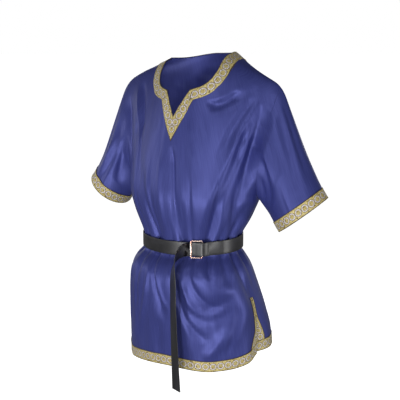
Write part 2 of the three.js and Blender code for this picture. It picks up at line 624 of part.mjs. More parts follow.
const BAR = BUCKLE.width / 2 - BUCKLE.wire / 2;
const LAYER = { inner: 1.2, tail: 3.7, leftBar: 6.9, rightBar: 4.6, loop: 7.9, over: 10.4 };
const UP = new THREE.Vector3(0, 0, 1);

// The end that is turned round the hidden bar, then the strap round the waist, then the strap
// again as it rises over that bar and dips through the buckle's window.
const TURN = (LAYER.loop - LAYER.inner) / 2;
const loopStations = [[-6, 0], [0, 0], [50, 1], [90, 1], [130, 1], [180, 1]]
  .map(([turn, bent]) => {
    const angle = radians(turn);
    return bent
      ? nearBuckle(BAR + TURN * Math.sin(angle), LAYER.inner + TURN + TURN * Math.cos(angle))
      : nearBuckle(BAR + turn, LAYER.loop);
  });
const roundStations = Array.from({ length: 53 }, (_, step) => {
  const { point, out } = beltPlace(BUCKLE.angle - 2 - step * 6.3);
  return point.addScaledVector(out, LAYER.inner);
});
const windowStations = [
  [32, 2.6], [24, 7.4], [BAR + 2, LAYER.over], [BAR - 4, LAYER.over - 0.3], [4, 8.2],
  [-3, 5.6], [-9, 4.1], [-BAR, LAYER.tail], [-BAR - 5, LAYER.tail + 0.2],
].map(([distance, height]) => nearBuckle(distance, height));

// The tail turns on its edge beside the buckle and hangs in front of the skirt.
const TAIL = [
  { at: [52, -167, -489], wide: [0.03, -0.2, 0.97] },
  { at: [46, -178, -495], wide: [0.1, -0.5, 0.85] },
  { at: [41.5, -190, -506], wide: [0.3, -0.82, 0.45] },
  { at: [40, -200, -522], wide: [0.55, -0.8, 0.12] },
  { at: [41, -206, -543], wide: [0.74, -0.66, 0] },
  { at: [42.5, -209, -570], wide: [0.82, -0.57, 0] },
  { at: [43.4, -210, -620], wide: [0.83, -0.56, 0] },
  { at: [44.5, -209, -700], wide: [0.86, -0.51, 0] },
  { at: [46.5, -207, -790], wide: [0.9, -0.44, 0] },
  { at: [48.5, -205, TAIL_END_Z], wide: [0.93, -0.37, 0] },
];

/** A flat strap of the belt's width along stations that give its middle and its width's way. */
function strapGeometry(stations) {
  const rings = stations.map(({ at, wide }, index) => {
    const ahead = stations[Math.min(index + 1, stations.length - 1)].at;
    const behind = stations[Math.max(index - 1, 0)].at;
    const along = ahead.clone().sub(behind).normalize();
    const width = wide.clone().addScaledVector(along, -wide.dot(along)).normalize();
    const out = width.clone().cross(along).normalize();
    return [[-1, -1], [-1, 1], [1, 1], [1, -1]].map(([across, through]) => at.clone()
      .addScaledVector(width, (across * STRAP.width) / 2)
      .addScaledVector(out, (through * STRAP.thickness) / 2));
  });
  const positions = rings.flat().flatMap((point) => point.toArray());
  const triangles = [0, 2, 1, 0, 3, 2];
  for (let ring = 0; ring + 1 < rings.length; ring += 1) {
    for (let side = 0; side < 4; side += 1) {
      const [a, b] = [ring * 4 + side, ring * 4 + ((side + 1) % 4)];
      triangles.push(a, b, b + 4, a, b + 4, a + 4);
    }
  }
  const end = (rings.length - 1) * 4;
  triangles.push(end, end + 1, end + 2, end, end + 2, end + 3);
  const geometry = new THREE.BufferGeometry();
  geometry.setAttribute('position', new THREE.Float32BufferAttribute(positions, 3));
  geometry.setIndex(triangles);
  geometry.computeVertexNormals();
  return geometry;
}

const tailCurve = new THREE.CatmullRomCurve3(
  TAIL.map(({ at }) => new THREE.Vector3(...at)), false, 'centripetal');
const tailStations = Array.from({ length: 31 }, (_, step) => {
  const place = ((step / 30) ** 1.6) * (TAIL.length - 1);
  const row = Math.min(Math.floor(place), TAIL.length - 2);
  const wide = new THREE.Vector3(...TAIL[row].wide)
    .lerp(new THREE.Vector3(...TAIL[row + 1].wide), place - row);
  return { at: tailCurve.getPoint(place / (TAIL.length - 1)), wide };
});
addPiece('belt_strap', strapGeometry([
  ...[...loopStations, ...roundStations, ...windowStations].map((at) => ({ at, wide: UP })),
  ...tailStations,
]), 'leather');

// ---------------------------------------------------------------- buckle
/** Outline of a rectangle with round corners, as a shape or as a hole's path. */
function roundedRectangle(Kind, width, height, corner) {
  const [x, y] = [width / 2 - corner, height / 2 - corner];
  const outline = new Kind();
  outline.absarc(x, -y, corner, -Math.PI / 2, 0);
  outline.absarc(x, y, corner, 0, Math.PI / 2);
  outline.absarc(-x, y, corner, Math.PI / 2, Math.PI);
  outline.absarc(-x, -y, corner, Math.PI, 1.5 * Math.PI);
  outline.closePath();
  return outline;
}

const ROUNDING = 1.1;
const frameShape = roundedRectangle(THREE.Shape,
  BUCKLE.width - 2 * ROUNDING, BUCKLE.height - 2 * ROUNDING, BUCKLE.corner - ROUNDING);
frameShape.holes.push(roundedRectangle(THREE.Path,
  BUCKLE.width - 2 * (BUCKLE.wire - ROUNDING), BUCKLE.height - 2 * (BUCKLE.wire - ROUNDING),
  BUCKLE.corner - 1.4));
const frameGeometry = new THREE.ExtrudeGeometry(frameShape, {
  depth: BUCKLE.wire - 2 * ROUNDING, curveSegments: 4, bevelEnabled: true,
  bevelThickness: ROUNDING, bevelSize: ROUNDING, bevelSegments: 2,
});
frameGeometry.translate(0, 0, -(BUCKLE.wire - 2 * ROUNDING) / 2);
const buckle = addPiece('buckle_frame', frameGeometry, 'metal');
const leftBar = nearBuckle(-BAR, LAYER.leftBar);
const rightBar = nearBuckle(BAR, LAYER.rightBar);
const across = rightBar.clone().sub(leftBar).setZ(0).normalize();
buckle.matrix.makeBasis(across, UP, across.clone().cross(UP));
buckle.matrix.setPosition(leftBar.add(rightBar).multiplyScalar(0.5));
buckle.matrix.decompose(buckle.position, buckle.quaternion, buckle.scale);

export default group;
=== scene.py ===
"""Dresses a belted, short-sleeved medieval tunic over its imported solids.

Metres, +Z up, -Y the wearer's front, +X the wearer's left. The origin lies midway between the
wearer's shoulders, beside the neckline. Shapes are worked out in millimetres and turned to
metres where a mesh is made.
"""

from __future__ import annotations

import logging
import math
from dataclasses import dataclass, field
from enum import Enum
from typing import Any, Sequence

import bmesh
import bpy
import numpy as np
from mathutils import Matrix, Vector

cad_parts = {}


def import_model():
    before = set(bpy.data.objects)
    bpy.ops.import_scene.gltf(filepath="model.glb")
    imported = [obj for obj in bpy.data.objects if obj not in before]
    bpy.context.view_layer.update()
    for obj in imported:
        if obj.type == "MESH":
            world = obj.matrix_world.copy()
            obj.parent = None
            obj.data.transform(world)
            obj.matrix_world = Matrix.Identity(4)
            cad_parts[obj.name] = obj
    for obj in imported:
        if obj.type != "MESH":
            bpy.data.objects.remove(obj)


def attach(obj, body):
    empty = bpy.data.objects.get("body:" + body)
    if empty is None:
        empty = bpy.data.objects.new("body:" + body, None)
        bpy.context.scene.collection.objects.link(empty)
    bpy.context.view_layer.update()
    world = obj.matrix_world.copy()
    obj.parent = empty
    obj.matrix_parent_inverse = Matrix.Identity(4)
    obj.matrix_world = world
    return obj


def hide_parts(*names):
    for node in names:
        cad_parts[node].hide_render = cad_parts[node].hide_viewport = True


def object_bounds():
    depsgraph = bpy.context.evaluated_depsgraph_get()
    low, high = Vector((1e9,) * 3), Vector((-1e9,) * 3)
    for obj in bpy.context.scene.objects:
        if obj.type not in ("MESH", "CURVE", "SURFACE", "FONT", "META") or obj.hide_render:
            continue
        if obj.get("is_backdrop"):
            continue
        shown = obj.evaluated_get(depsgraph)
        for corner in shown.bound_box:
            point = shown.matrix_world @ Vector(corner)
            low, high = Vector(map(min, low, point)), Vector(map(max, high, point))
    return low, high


LOG = logging.getLogger("tunic")
MM = 0.001
MERGE = 1e-5            # points closer than this, in metres, become one
BODY = "root"
Array = np.ndarray
Stops = Sequence[tuple[float, str]]


class Side(Enum):
    """The two body panels."""

    FRONT = -1
    BACK = 1


class Hand(Enum):
    """The two sleeves, as the wearer names them."""

    LEFT = 1
    RIGHT = -1


# ------------------------------------------------------------------ numbers and curves
def smoothstep(value: Array, low: float, high: float) -> Array:
    """Smooth step from 0 at low to 1 at high."""
    t = np.clip((value - low) / (high - low), 0.0, 1.0)
    return t * t * (3.0 - 2.0 * t)


def bell(distance: Array, width: Array) -> Array:
    """Bell curve of a half width."""
    return np.exp(-((distance / width) ** 2))


def blend(a: Array, b: Array, share: Array) -> Array:
    """Straight mix of two values."""
    return a + (b - a) * share


def hermite(t: Array, low: Array, leave: Array, high: Array, arrive: Array) -> Array:
    """Cubic curve by its ends and its slopes there.

    Args:
        t: Share of the way, from 0 to 1.
        low: Value at the start.
        leave: Slope at the start, over the whole span.
        high: Value at the end.
        arrive: Slope at the end, over the whole span.

    Returns:
        The curve's values at t.
    """
    return ((2 * t**3 - 3 * t**2 + 1) * low + (t**3 - 2 * t**2 + t) * leave
            + (3 * t**2 - 2 * t**3) * high + (t**3 - t**2) * arrive)


def bezier(t: Array, start: Array, leave: Array, arrive: Array, end: Array) -> Array:
    """Cubic curve by its ends and the two points that draw it.

    Args:
        t: Share of the way, from 0 to 1.
        start: First point.
        leave: Point that the curve sets out for.
        arrive: Point that it comes in from.
        end: Last point.

    Returns:
        The curve's points at t.
    """
    return ((1 - t) ** 3 * start + 3 * (1 - t) ** 2 * t * leave
            + 3 * (1 - t) * t**2 * arrive + t**3 * end)


def unit(vectors: Array) -> Array:
    """Vectors at length one."""
    length = np.linalg.norm(vectors, axis=-1, keepdims=True)
    return vectors / np.maximum(length, 1e-9)


def turned(degrees: Array) -> Array:
    """An angle brought between -180 and 180 degrees."""
    return np.mod(degrees + 180.0, 360.0) - 180.0


def smooth_noise(x: Array, y: Array, seed: int) -> Array:
    """Smooth value noise between -1 and 1.

    Args:
        x: First coordinate, in cells.
        y: Second coordinate, in cells.
        seed: Number that picks the pattern.

    Returns:
        The noise at each place.
    """
    left, low = np.floor(x), np.floor(y)

    def corner(i: Array, j: Array) -> Array:
        """Fixed value of a lattice point."""
        wave = np.sin(i * 127.1 + j * 311.7 + seed * 74.7) * 43758.5453
        return 2.0 * (wave - np.floor(wave)) - 1.0

    tx, ty = x - left, y - low
    tx, ty = tx * tx * (3 - 2 * tx), ty * ty * (3 - 2 * ty)
    bottom = blend(corner(left, low), corner(left + 1, low), tx)
    top = blend(corner(left, low + 1), corner(left + 1, low + 1), tx)
    return blend(bottom, top, ty)


def through(points: Sequence[Sequence[float]], count: int, power: float = 1.0) -> Array:
    """Points along a smooth curve through the given ones.

    Args:
        points: Points that the curve passes.
        count: How many points to give back.
        power: Over 1 gathers the points near the curve's start.

    Returns:
        The points, evenly spread by the curve's own parameter to the power.
    """
    known = np.asarray(points, float)
    place = (np.linspace(0.0, 1.0, count) ** power) * (len(known) - 1)
    row = np.minimum(place.astype(int), len(known) - 2)
    t = (place - row)[:, None]
    low, high = known[row], known[row + 1]
    before = known[np.maximum(row - 1, 0)]
    after = known[np.minimum(row + 2, len(known) - 1)]
    start, end = (high - before) / 2.0, (after - low) / 2.0
    return hermite(t, low, start, high, end)


def subdivide(values: Sequence[float], parts: int) -> Array:
    """Cuts every span of a row of values into equal parts.

    Args:
        values: The row.
        parts: Parts that each span is cut into.

    Returns:
        The longer row.
    """
    known = np.asarray(values, float)
    steps = np.arange((len(known) - 1) * parts + 1) / parts
    return np.interp(steps, np.arange(len(known)), known)


def arc_lengths(points: Array, axis: int = 0) -> Array:
    """Distance along rows of points, from where they start.

    Args:
        points: The points, with their x, y and z last.
        axis: Axis that the rows run along.

    Returns:
        The distance at every point.
    """
    steps = np.linalg.norm(np.diff(points, axis=axis), axis=-1)
    start = np.zeros_like(np.take(steps, [0], axis))
    return np.concatenate([start, np.cumsum(steps, axis=axis)], axis=axis)


def ellipse_out(turn: Array, a: Array, b: Array, facing: int) -> Array:
    """Outward direction of an ellipse.

    Args:
        turn: Angle from the middle of its front or back, in radians.
        a: Half width.
        b: Half depth.
        facing: -1 for its front, 1 for its back.

    Returns:
        Unit vectors, one for each angle.
    """
    return unit(np.stack([np.sin(turn) / a, facing * np.cos(turn) / b,
                          np.zeros_like(turn)], -1))


# ------------------------------------------------------------------ meshes
def new_piece(name: str, work: bmesh.types.BMesh) -> bpy.types.Object:
    """Turns a bmesh into a smooth piece of the scene.

    Args:
        name: Name of the piece.
        work: The bmesh, which is used up.

    Returns:
        The new object.
    """
    mesh = bpy.data.meshes.new(name)
    work.to_mesh(mesh)
    work.free()
    mesh.polygons.foreach_set("use_smooth", [True] * len(mesh.polygons))
    piece = bpy.data.objects.new(name, mesh)
    bpy.context.scene.collection.objects.link(piece)
    return piece


def grid_object(name: str, places: Array, chart: Array, inside_out: bool = False,
                closed: bool = False) -> bpy.types.Object:
    """A sheet of cells from bmesh's grid, moved to its places.

    Args:
        name: Name of the piece.
        places: Points in millimetres, columns by rows by three.
        chart: Cut position of every point, columns by rows by two.
        inside_out: Turns the faces over.
        closed: Joins the last column to the first, which hold the same points.

    Returns:
        The new object, with the chart as its UV map.
    """
    wide, high = places.shape[0] - 1, places.shape[1] - 1
    work = bmesh.new()
    bmesh.ops.create_grid(work, x_segments=wide, y_segments=high, size=1.0)
    if inside_out:
        bmesh.ops.reverse_faces(work, faces=work.faces[:])
    piece = new_piece(name, work)
    mesh = piece.data
    flat = np.empty(len(mesh.vertices) * 3)
    mesh.vertices.foreach_get("co", flat)
    flat = flat.reshape(-1, 3)
    column = np.rint((flat[:, 0] + 1.0) / 2.0 * wide).astype(int)
    row = np.rint((flat[:, 1] + 1.0) / 2.0 * high).astype(int)
    mesh.vertices.foreach_set("co", (places[column, row] * MM).ravel())
    corners = np.empty(len(mesh.loops), int)
    mesh.loops.foreach_get("vertex_index", corners)
    layer = mesh.uv_layers.new(name="cut")
    layer.data.foreach_set("uv", chart[column, row][corners].ravel())
    mesh.update()
    if closed:
        merge_close(piece)
    return piece


def cut_chart(grid: Array) -> Array:
    """Cut position of a grid's points.

    Args:
        grid: Points in millimetres, columns by rows by three.

    Returns:
        Metres across from the middle column, and along from the first row.
    """
    across = arc_lengths(grid)
    across -= across[len(across) // 2]
    return np.stack([across, arc_lengths(grid, 1)], -1) * MM


def merge_close(piece: bpy.types.Object, close: bool = False) -> None:
    """Joins points of a piece that lie on each other.

    Args:
        piece: The piece.
        close: Also fills its open ends and turns its faces outward.
    """
    work = bmesh.new()
    work.from_mesh(piece.data)
    bmesh.ops.remove_doubles(work, verts=work.verts[:], dist=MERGE)
    if close:
        open_edges = [edge for edge in work.edges if edge.is_boundary]
        bmesh.ops.holes_fill(work, edges=open_edges, sides=0)
        bmesh.ops.recalc_face_normals(work, faces=work.faces[:])
    work.to_mesh(piece.data)
    work.free()


def join(name: str, pieces: Sequence[bpy.types.Object]) -> bpy.types.Object:
    """Joins sheets that share an edge into one piece.

    Args:
        name: Name of the joined piece.
        pieces: The sheets, which are used up.

    Returns:
        The joined piece.
    """
    work = bmesh.new()
    for piece in pieces:
        work.from_mesh(piece.data)
        bpy.data.objects.remove(piece)
    joined = new_piece(name, work)
    merge_close(joined)
    return joined


def add_wall(piece: bpy.types.Object, thickness: float, outward: bool) -> None:
    """Gives a sheet its thickness.

    Args:
        piece: The sheet.
        thickness: Wall in millimetres.
        outward: The wall grows along the faces' outward side instead of inward.
    """
    wall = piece.modifiers.new("wall", "SOLIDIFY")
    wall.thickness = thickness * MM
    wall.offset = 1.0 if outward else -1.0
    wall.use_even_offset = False


def dress(piece: bpy.types.Object, material: bpy.types.Material,
          node: str | None = None) -> None:
    """Gives a piece its material and its place in the frame.

    Args:
        piece: The piece.
        material: Its finish.
        node: Node that the piece replaces, if it replaces one.
    """
    piece.data.materials.append(material)
    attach(piece, BODY)
    if node:
        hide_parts(node)
    LOG.info("%s: %d faces", piece.name, len(piece.data.polygons))


def outward_normals(grid: Array, sign: float, closed: bool = False) -> Array:
    """Outward directions of a grid of points.

    Args:
        grid: Points, columns by rows by three.
        sign: Turns the direction over when it is negative.
        closed: The last column meets the first.

    Returns:
        Unit vectors, one for each point.
    """
    if closed:
        ring = np.concatenate([grid[-2:-1], grid, grid[1:2]])
        across = (ring[2:] - ring[:-2]) / 2.0
    else:
        across = np.gradient(grid, axis=0)
    along = np.gradient(grid, axis=1)
    return unit(np.cross(across, along) * sign)


# ------------------------------------------------------------------ materials
def linear(code: str) -> tuple[float, float, float, float]:
    """Turns a colour to linear light.

    Args:
        code: The colour as an sRGB hex value.

    Returns:
        Its red, green and blue, and 1.
    """
    def channel(start: int) -> float:
        """One channel in linear light."""
        value = int(code[start:start + 2], 16) / 255.0
        return value / 12.92 if value <= 0.04045 else ((value + 0.055) / 1.055) ** 2.4

    return channel(1), channel(3), channel(5), 1.0


def add_node(tree: bpy.types.NodeTree, kind: str, inputs: dict[Any, Any] | None = None,
             stops: Stops = (), **settings: Any) -> bpy.types.Node:
    """Adds a node with its settings, values and links.

    Args:
        tree: The material's node tree.
        kind: Blender's name for the node, without the ShaderNode before it.
        inputs: Socket name or number to a value, or to another node's output socket.
        stops: A colour ramp's places from 0 to 1, with their hex colours.
        **settings: Attributes of the node itself.

    Returns:
        The new node.
    """
    node = tree.nodes.new("ShaderNode" + kind)
    for name, value in settings.items():
        setattr(node, name, value)
    for name, value in (inputs or {}).items():
        socket = node.inputs[name]
        if isinstance(value, bpy.types.NodeSocket):
            tree.links.new(value, socket)
        else:
            socket.default_value = value
    if stops:
        elements = node.color_ramp.elements
        elements.remove(elements[1])
        elements[0].position, elements[0].color = stops[0][0], linear(stops[0][1])
        for place, code in stops[1:]:
            elements.new(place).color = linear(code)
    return node


def new_material(name: str, **shader: Any) -> tuple[bpy.types.Material, bpy.types.NodeTree,
                                                    bpy.types.Node]:
    """A material with its shader's even values set.

    Args:
        name: Name of the real material and how it is finished.
        **shader: Values of the shader's own sockets, with _ for a space.

    Returns:
        The material, its node tree and its shader.
    """
    material = bpy.data.materials.new(name)
    material.use_nodes = True
    tree = material.node_tree
    bsdf = tree.nodes["Principled BSDF"]
    for socket, value in shader.items():
        bsdf.inputs[socket.replace("_", " ")].default_value = value
    return material, tree, bsdf


def finish_surface(tree: bpy.types.NodeTree, bsdf: bpy.types.Node,
                   colour: bpy.types.NodeSocket, height: bpy.types.NodeSocket,
                   strength: float, relief_mm: float) -> None:
    """Gives a shader its colour and its relief.

    Args:
        tree: The material's node tree.
        bsdf: The shader.
        colour: Its colour.
        height: Height of the relief, from 0 to 1.
        strength: Share of the relief that shows.
        relief_mm: Height of the real relief.
    """
    tree.links.new(colour, bsdf.inputs["Base Color"])
    bump = add_node(tree, "Bump", {"Height": height, "Strength": strength,
                                   "Distance": relief_mm * MM})
    tree.links.new(bump.outputs["Normal"], bsdf.inputs["Normal"])


@dataclass(frozen=True)
class SatinCloth:
    """Polyester satin with slubs, woven: a soft wide sheen and faint lengthwise streaks."""

    body: str = "#41488e"
    shade: str = "#3b4184"
    light: str = "#4a5299"
    slub_mm: tuple[float, float] = (2.6, 70.0)    # width and length of a slub
    rib_mm: tuple[float, float] = (1.1, 6.6)    # coarser than the real 0.3 mm weave, to show
    cloud_mm: float = 143.0     # size of the dye's faint clouds
    relief_mm: float = 0.6

    def material(self) -> bpy.types.Material:
        """Builds the material.

        Returns:
            The material, on the cut's UV map, which is in metres.
        """
        material, tree, bsdf = new_material(
            "slubbed polyester satin", Roughness=0.44, IOR=1.5, Metallic=0.35,
            Sheen_Weight=0.1, Sheen_Roughness=0.4, Sheen_Tint=linear("#8a8fd8"),
            Specular_IOR_Level=0.35)
        cut = add_node(tree, "UVMap", uv_map="cut").outputs["UV"]
        slub_way, rib_way = (add_node(tree, "Mapping", {
            "Vector": cut, "Scale": (1 / (wide * MM), 1 / (long * MM), 1.0)}).outputs["Vector"]
            for wide, long in (self.slub_mm, self.rib_mm))
        slub = add_node(tree, "TexNoise", {"Vector": slub_way, "Scale": 1.0, "Detail": 3.0,
                                           "Roughness": 0.55}).outputs["Fac"]
        clouds = add_node(tree, "TexNoise", {"Vector": cut, "Scale": 1 / (self.cloud_mm * MM),
                                             "Detail": 2.0}).outputs["Fac"]
        weave = add_node(tree, "TexNoise", {"Vector": rib_way, "Scale": 1.0,
                                            "Detail": 1.0}).outputs["Fac"]
        both = add_node(tree, "Mix", {"Factor": 0.3, "A": slub, "B": clouds})
        colour = add_node(tree, "ValToRGB", {"Fac": both.outputs["Result"]},
                          [(0.3, self.shade), (0.5, self.body), (0.72, self.light)])
        height = add_node(tree, "Mix", {"Factor": 0.4, "A": slub, "B": weave})
        finish_surface(tree, bsdf, colour.outputs["Color"], height.outputs["Result"], 0.35,
                       self.relief_mm)
        return material


@dataclass(frozen=True)
class JacquardRibbon:
    """Jacquard ribbon with metallic yarn, woven: raised rings on a mottled ground."""

    ground: str = "#a8924e"
    ground_light: str = "#e4d592"
    ground_dark: str = "#3a2c16"
    ring: str = "#d4c8cb"
    ring_light: str = "#ffffff"
    ring_dark: str = "#9a8a90"
    centre: str = "#cdb970"
    edge: str = "#4c3c2a"
    pitch_mm: float = 20.0      # from one ring to the next
    width_mm: float = 30.0
    edge_mm: tuple[float, float] = (2.0, 1.2)   # where the dark woven edge begins and is full
    # Levels by the distance from a ring's centre, in pitches: the dot and the ring together,
    # the ring without the dot, and the dark line round both.
    motif: Stops = ((0.0, "#ffffff"), (0.16, "#ffffff"), (0.19, "#000000"),
                    (0.345, "#000000"), (0.375, "#ffffff"), (0.485, "#ffffff"),
                    (0.52, "#000000"))
    past_dot: Stops = ((0.17, "#000000"), (0.2, "#ffffff"))
    outline: Stops = ((0.14, "#000000"), (0.175, "#c0c0c0"), (0.21, "#000000"),
                      (0.3, "#000000"), (0.35, "#e0e0e0"), (0.38, "#000000"),
                      (0.48, "#000000"), (0.51, "#ffffff"), (0.58, "#000000"))
    waver: float = 0.12         # how far the weave's steps move a ring's edge, in pitches
    leaf_mm: float = 3.57       # the ground's leaves, and the mottling of its yarn
    mottle_mm: float = 2.222
    relief_mm: float = 0.7

    def material(self) -> bpy.types.Material:
        """Builds the material.

        Returns:
            The material, on the ribbon's UV map, which counts in pitches.
        """
        material, tree, bsdf = new_material(
            "jacquard ribbon with metallic yarn", Roughness=0.5, Metallic=0.15,
            Sheen_Weight=0.15, Sheen_Roughness=0.5, Specular_IOR_Level=0.5)
        cut = add_node(tree, "UVMap", uv_map="cut").outputs["UV"]
        middle = self.width_mm / self.pitch_mm / 2.0
        place = add_node(tree, "SeparateXYZ", {"Vector": cut})
        along = add_node(tree, "Math", {0: place.outputs["X"], 1: 1.0, 2: 0.0},
                         operation="WRAP").outputs[0]
        along = add_node(tree, "Math", {0: along, 1: 0.5}, operation="SUBTRACT").outputs[0]
        across = add_node(tree, "Math", {0: place.outputs["Y"], 1: middle},
                          operation="SUBTRACT").outputs[0]
        uneven = self._distance(tree, cut, along, across)
        leaves = add_node(tree, "TexVoronoi", {
            "Vector": cut, "Scale": self.pitch_mm / self.leaf_mm, "Randomness": 0.8},
            feature="SMOOTH_F1").outputs["Distance"]
        mottle = add_node(tree, "TexNoise", {
            "Vector": cut, "Scale": self.pitch_mm / self.mottle_mm, "Detail": 3.0,
            "Roughness": 0.65}).outputs["Fac"]
        mixed = add_node(tree, "Mix", {"Factor": 0.5, "A": leaves, "B": mottle})
        ground, yarn, band, past_dot, outline = (
            add_node(tree, "ValToRGB", {"Fac": factor}, stops).outputs["Color"]
            for factor, stops in (
                (mixed.outputs["Result"], [
                    (0.3, self.ground_dark), (0.4, self.ground), (0.5, self.ground_light),
                    (0.62, self.ground), (0.72, self.ground_dark)]),
                (mottle, [(0.36, self.ring_dark), (0.47, self.ring), (0.62, self.ring_light)]),
                (uneven, self.motif), (uneven, self.past_dot), (uneven, self.outline)))
        away = add_node(tree, "Math", {0: across}, operation="ABSOLUTE").outputs[0]
        begins, full = (middle - size / self.pitch_mm for size in self.edge_mm)
        edge = add_node(tree, "ValToRGB", {"Fac": away}, [
            (0.0, "#000000"), (begins, "#000000"), (full, "#ffffff"), (1.0, "#ffffff")])
        inner = add_node(tree, "Mix", {0: past_dot, 6: linear(self.centre), 7: yarn},
                         data_type="RGBA").outputs[2]
        filled = add_node(tree, "Mix", {0: band, 6: ground, 7: inner},
                          data_type="RGBA").outputs[2]
        lined = add_node(tree, "Mix", {0: outline, 6: filled, 7: linear(self.ground_dark)},
                         data_type="RGBA").outputs[2]
        colour = add_node(tree, "Mix", {0: edge.outputs["Color"], 6: lined,
                                        7: linear(self.edge)}, data_type="RGBA").outputs[2]
        height = add_node(tree, "Mix", {"Factor": 0.35, "A": band, "B": mottle})
        finish_surface(tree, bsdf, colour, height.outputs["Result"], 0.6, self.relief_mm)
        return material

    def _distance(self, tree: bpy.types.NodeTree, cut: bpy.types.NodeSocket,
                  along: bpy.types.NodeSocket,
                  across: bpy.types.NodeSocket) -> bpy.types.NodeSocket:
        """Measures from the nearest ring's centre, with the weave's uneven steps.

        Args:
            tree: The material's node tree.
            cut: Place on the ribbon, in pitches.
            along: Distance along the ribbon from the ring's centre.
            across: Distance across it.

        Returns:
            The uneven distance, in pitches.
        """
        arm = add_node(tree, "CombineXYZ", {"X": along, "Y": across}).outputs["Vector"]
        radius = add_node(tree, "VectorMath", {0: arm}, operation="LENGTH").outputs["Value"]
        steps = add_node(tree, "TexNoise", {"Vector": cut, "Scale": 6.0, "Detail": 2.0})
        return add_node(tree, "Math", {0: steps.outputs["Fac"], 1: self.waver, 2: radius},
                        operation="MULTIPLY_ADD").outputs[0]


@dataclass(frozen=True)
class BeltLeather:
    """Dyed and finished cowhide: smooth, with a fine grain and a satin shine."""

    body: str = "#18181c"
    worn: str = "#28282e"
    deep: str = "#0e0e12"
    grain_mm: float = 1.8       # coarser than the real 0.5 mm grain, so that it shows
    wear_mm: tuple[float, float] = (71.4, 16.7)     # length and width of a worn place
    shine: tuple[float, float] = (0.32, 0.5)    # roughness of the deep and the worn places
    relief_mm: float = 0.4

    def material(self) -> bpy.types.Material:
        """Builds the material.

        Returns:
            The material, on the strap's UV map, which is in metres.
        """
        material, tree, bsdf = new_material(
            "satin-finished cowhide", Roughness=0.4, IOR=1.5, Specular_IOR_Level=0.6,
            Coat_Weight=0.3, Coat_Roughness=0.32)
        cut = add_node(tree, "UVMap", uv_map="cut").outputs["UV"]
        grain = add_node(tree, "TexVoronoi", {"Vector": cut,
                                              "Scale": 1 / (self.grain_mm * MM)},
                         feature="DISTANCE_TO_EDGE")
        wear = add_node(tree, "Mapping", {"Vector": cut, "Scale": (
            *(1 / (size * MM) for size in self.wear_mm), 1.0)})
        patches = add_node(tree, "TexNoise", {
            "Vector": wear.outputs["Vector"], "Scale": 1.0, "Detail": 4.0,
            "Roughness": 0.6}).outputs["Fac"]
        colour = add_node(tree, "ValToRGB", {"Fac": patches},
                          [(0.3, self.deep), (0.5, self.body), (0.75, self.worn)])
        shine = add_node(tree, "MapRange", {"Value": patches, "To Min": self.shine[0],
                                            "To Max": self.shine[1]})
        tree.links.new(shine.outputs["Result"], bsdf.inputs["Roughness"])
        height = add_node(tree, "Mix", {"Factor": 0.5, "A": grain.outputs["Distance"],
                                        "B": patches})
        finish_surface(tree, bsdf, colour.outputs["Color"], height.outputs["Result"], 0.25,
                       self.relief_mm)
        return material


@dataclass(frozen=True)
class PlatedMetal:
    """Zinc casting, plated and polished to a rose tone, with rubbed places."""

    body: str = "#c39a8c"
    rubbed: str = "#dcc6bb"
    rub_mm: float = 14.3        # size of a rubbed place
    shine: tuple[float, float] = (0.22, 0.32)   # roughness of the polished and rubbed places

    def material(self) -> bpy.types.Material:
        """Builds the material.

        Returns:
            The material, on Object coordinates.
        """
        material, tree, bsdf = new_material("rose-plated zinc", Metallic=1.0,
                                            Roughness=self.shine[0])
        place = add_node(tree, "TexCoord").outputs["Object"]
        marks = add_node(tree, "TexNoise", {"Vector": place, "Scale": 1 / (self.rub_mm * MM),
                                            "Detail": 1.0}).outputs["Fac"]
        colour = add_node(tree, "ValToRGB", {"Fac": marks},
                          [(0.35, self.body), (0.7, self.rubbed)])
        tree.links.new(colour.outputs["Color"], bsdf.inputs["Base Color"])
        rough = add_node(tree, "MapRange", {"Value": marks, "To Min": self.shine[0],
                                            "To Max": self.shine[1]})
        tree.links.new(rough.outputs["Result"], bsdf.inputs["Roughness"])
        return material


@dataclass(frozen=True)
class SewingThread:
    """Spun polyester sewing thread: matt, a little darker than the ribbon's ground."""

    body: str = "#8c7842"
    shade: str = "#6f5d30"
    twist_mm: float = 1.111

    def material(self) -> bpy.types.Material:
        """Builds the material.

        Returns:
            The material, on Object coordinates.
        """
        material, tree, bsdf = new_material("spun polyester thread", Roughness=0.8,
                                            Sheen_Weight=0.2)
        place = add_node(tree, "TexCoord").outputs["Object"]
        twist = add_node(tree, "TexNoise", {"Vector": place,
                                            "Scale": 1 / (self.twist_mm * MM)})
        colour = add_node(tree, "ValToRGB", {"Fac": twist.outputs["Fac"]},
                          [(0.3, self.shade), (0.7, self.body)])
        tree.links.new(colour.outputs["Color"], bsdf.inputs["Base Color"])
        return material


@dataclass(frozen=True)
class StudioPaper:
    """Matt white paper for the floor and the backdrop."""

    body: str = "#ffffff"
    glow: float = 1.0       # lit from beneath

    def material(self) -> bpy.types.Material:
        """Builds the plain material.

        Returns:
            The material.
        """
        return new_material("matt white paper", Base_Color=linear(self.body),
                            Roughness=0.95, Specular_IOR_Level=0.1,
                            Emission_Color=linear(self.body), Emission_Strength=self.glow)[0]


# ------------------------------------------------------------------ the body's surface
@dataclass(frozen=True)
class Gather:
    """A gather that the belt presses in, round the body.

    angle is from the centre front towards the wearer's left, lean is in degrees for each
    100 mm away from the belt, width is in degrees, and depth and length in millimetres.
    """

    angle: float
    lean: float
    width: float
    depth: float
    length: float

    def depth_at(self, angle: Array, away: Array) -> Array:
        """Depth of the gather, which is a sharp bell on a wide one.

        Args:
            angle: Degrees round the body.
            away: Distances from the belt.

        Returns:
            The depth at each place.
        """
        fade = np.clip(1 - away / self.length, 0, 1) ** 1.2
        spread = self.width * (1 + away / 200.0)
        off = turned(angle - (self.angle + self.lean * away / 100.0))
        return self.depth * fade * (0.75 * bell(off, spread) + 0.45 * bell(off, 0.42 * spread))


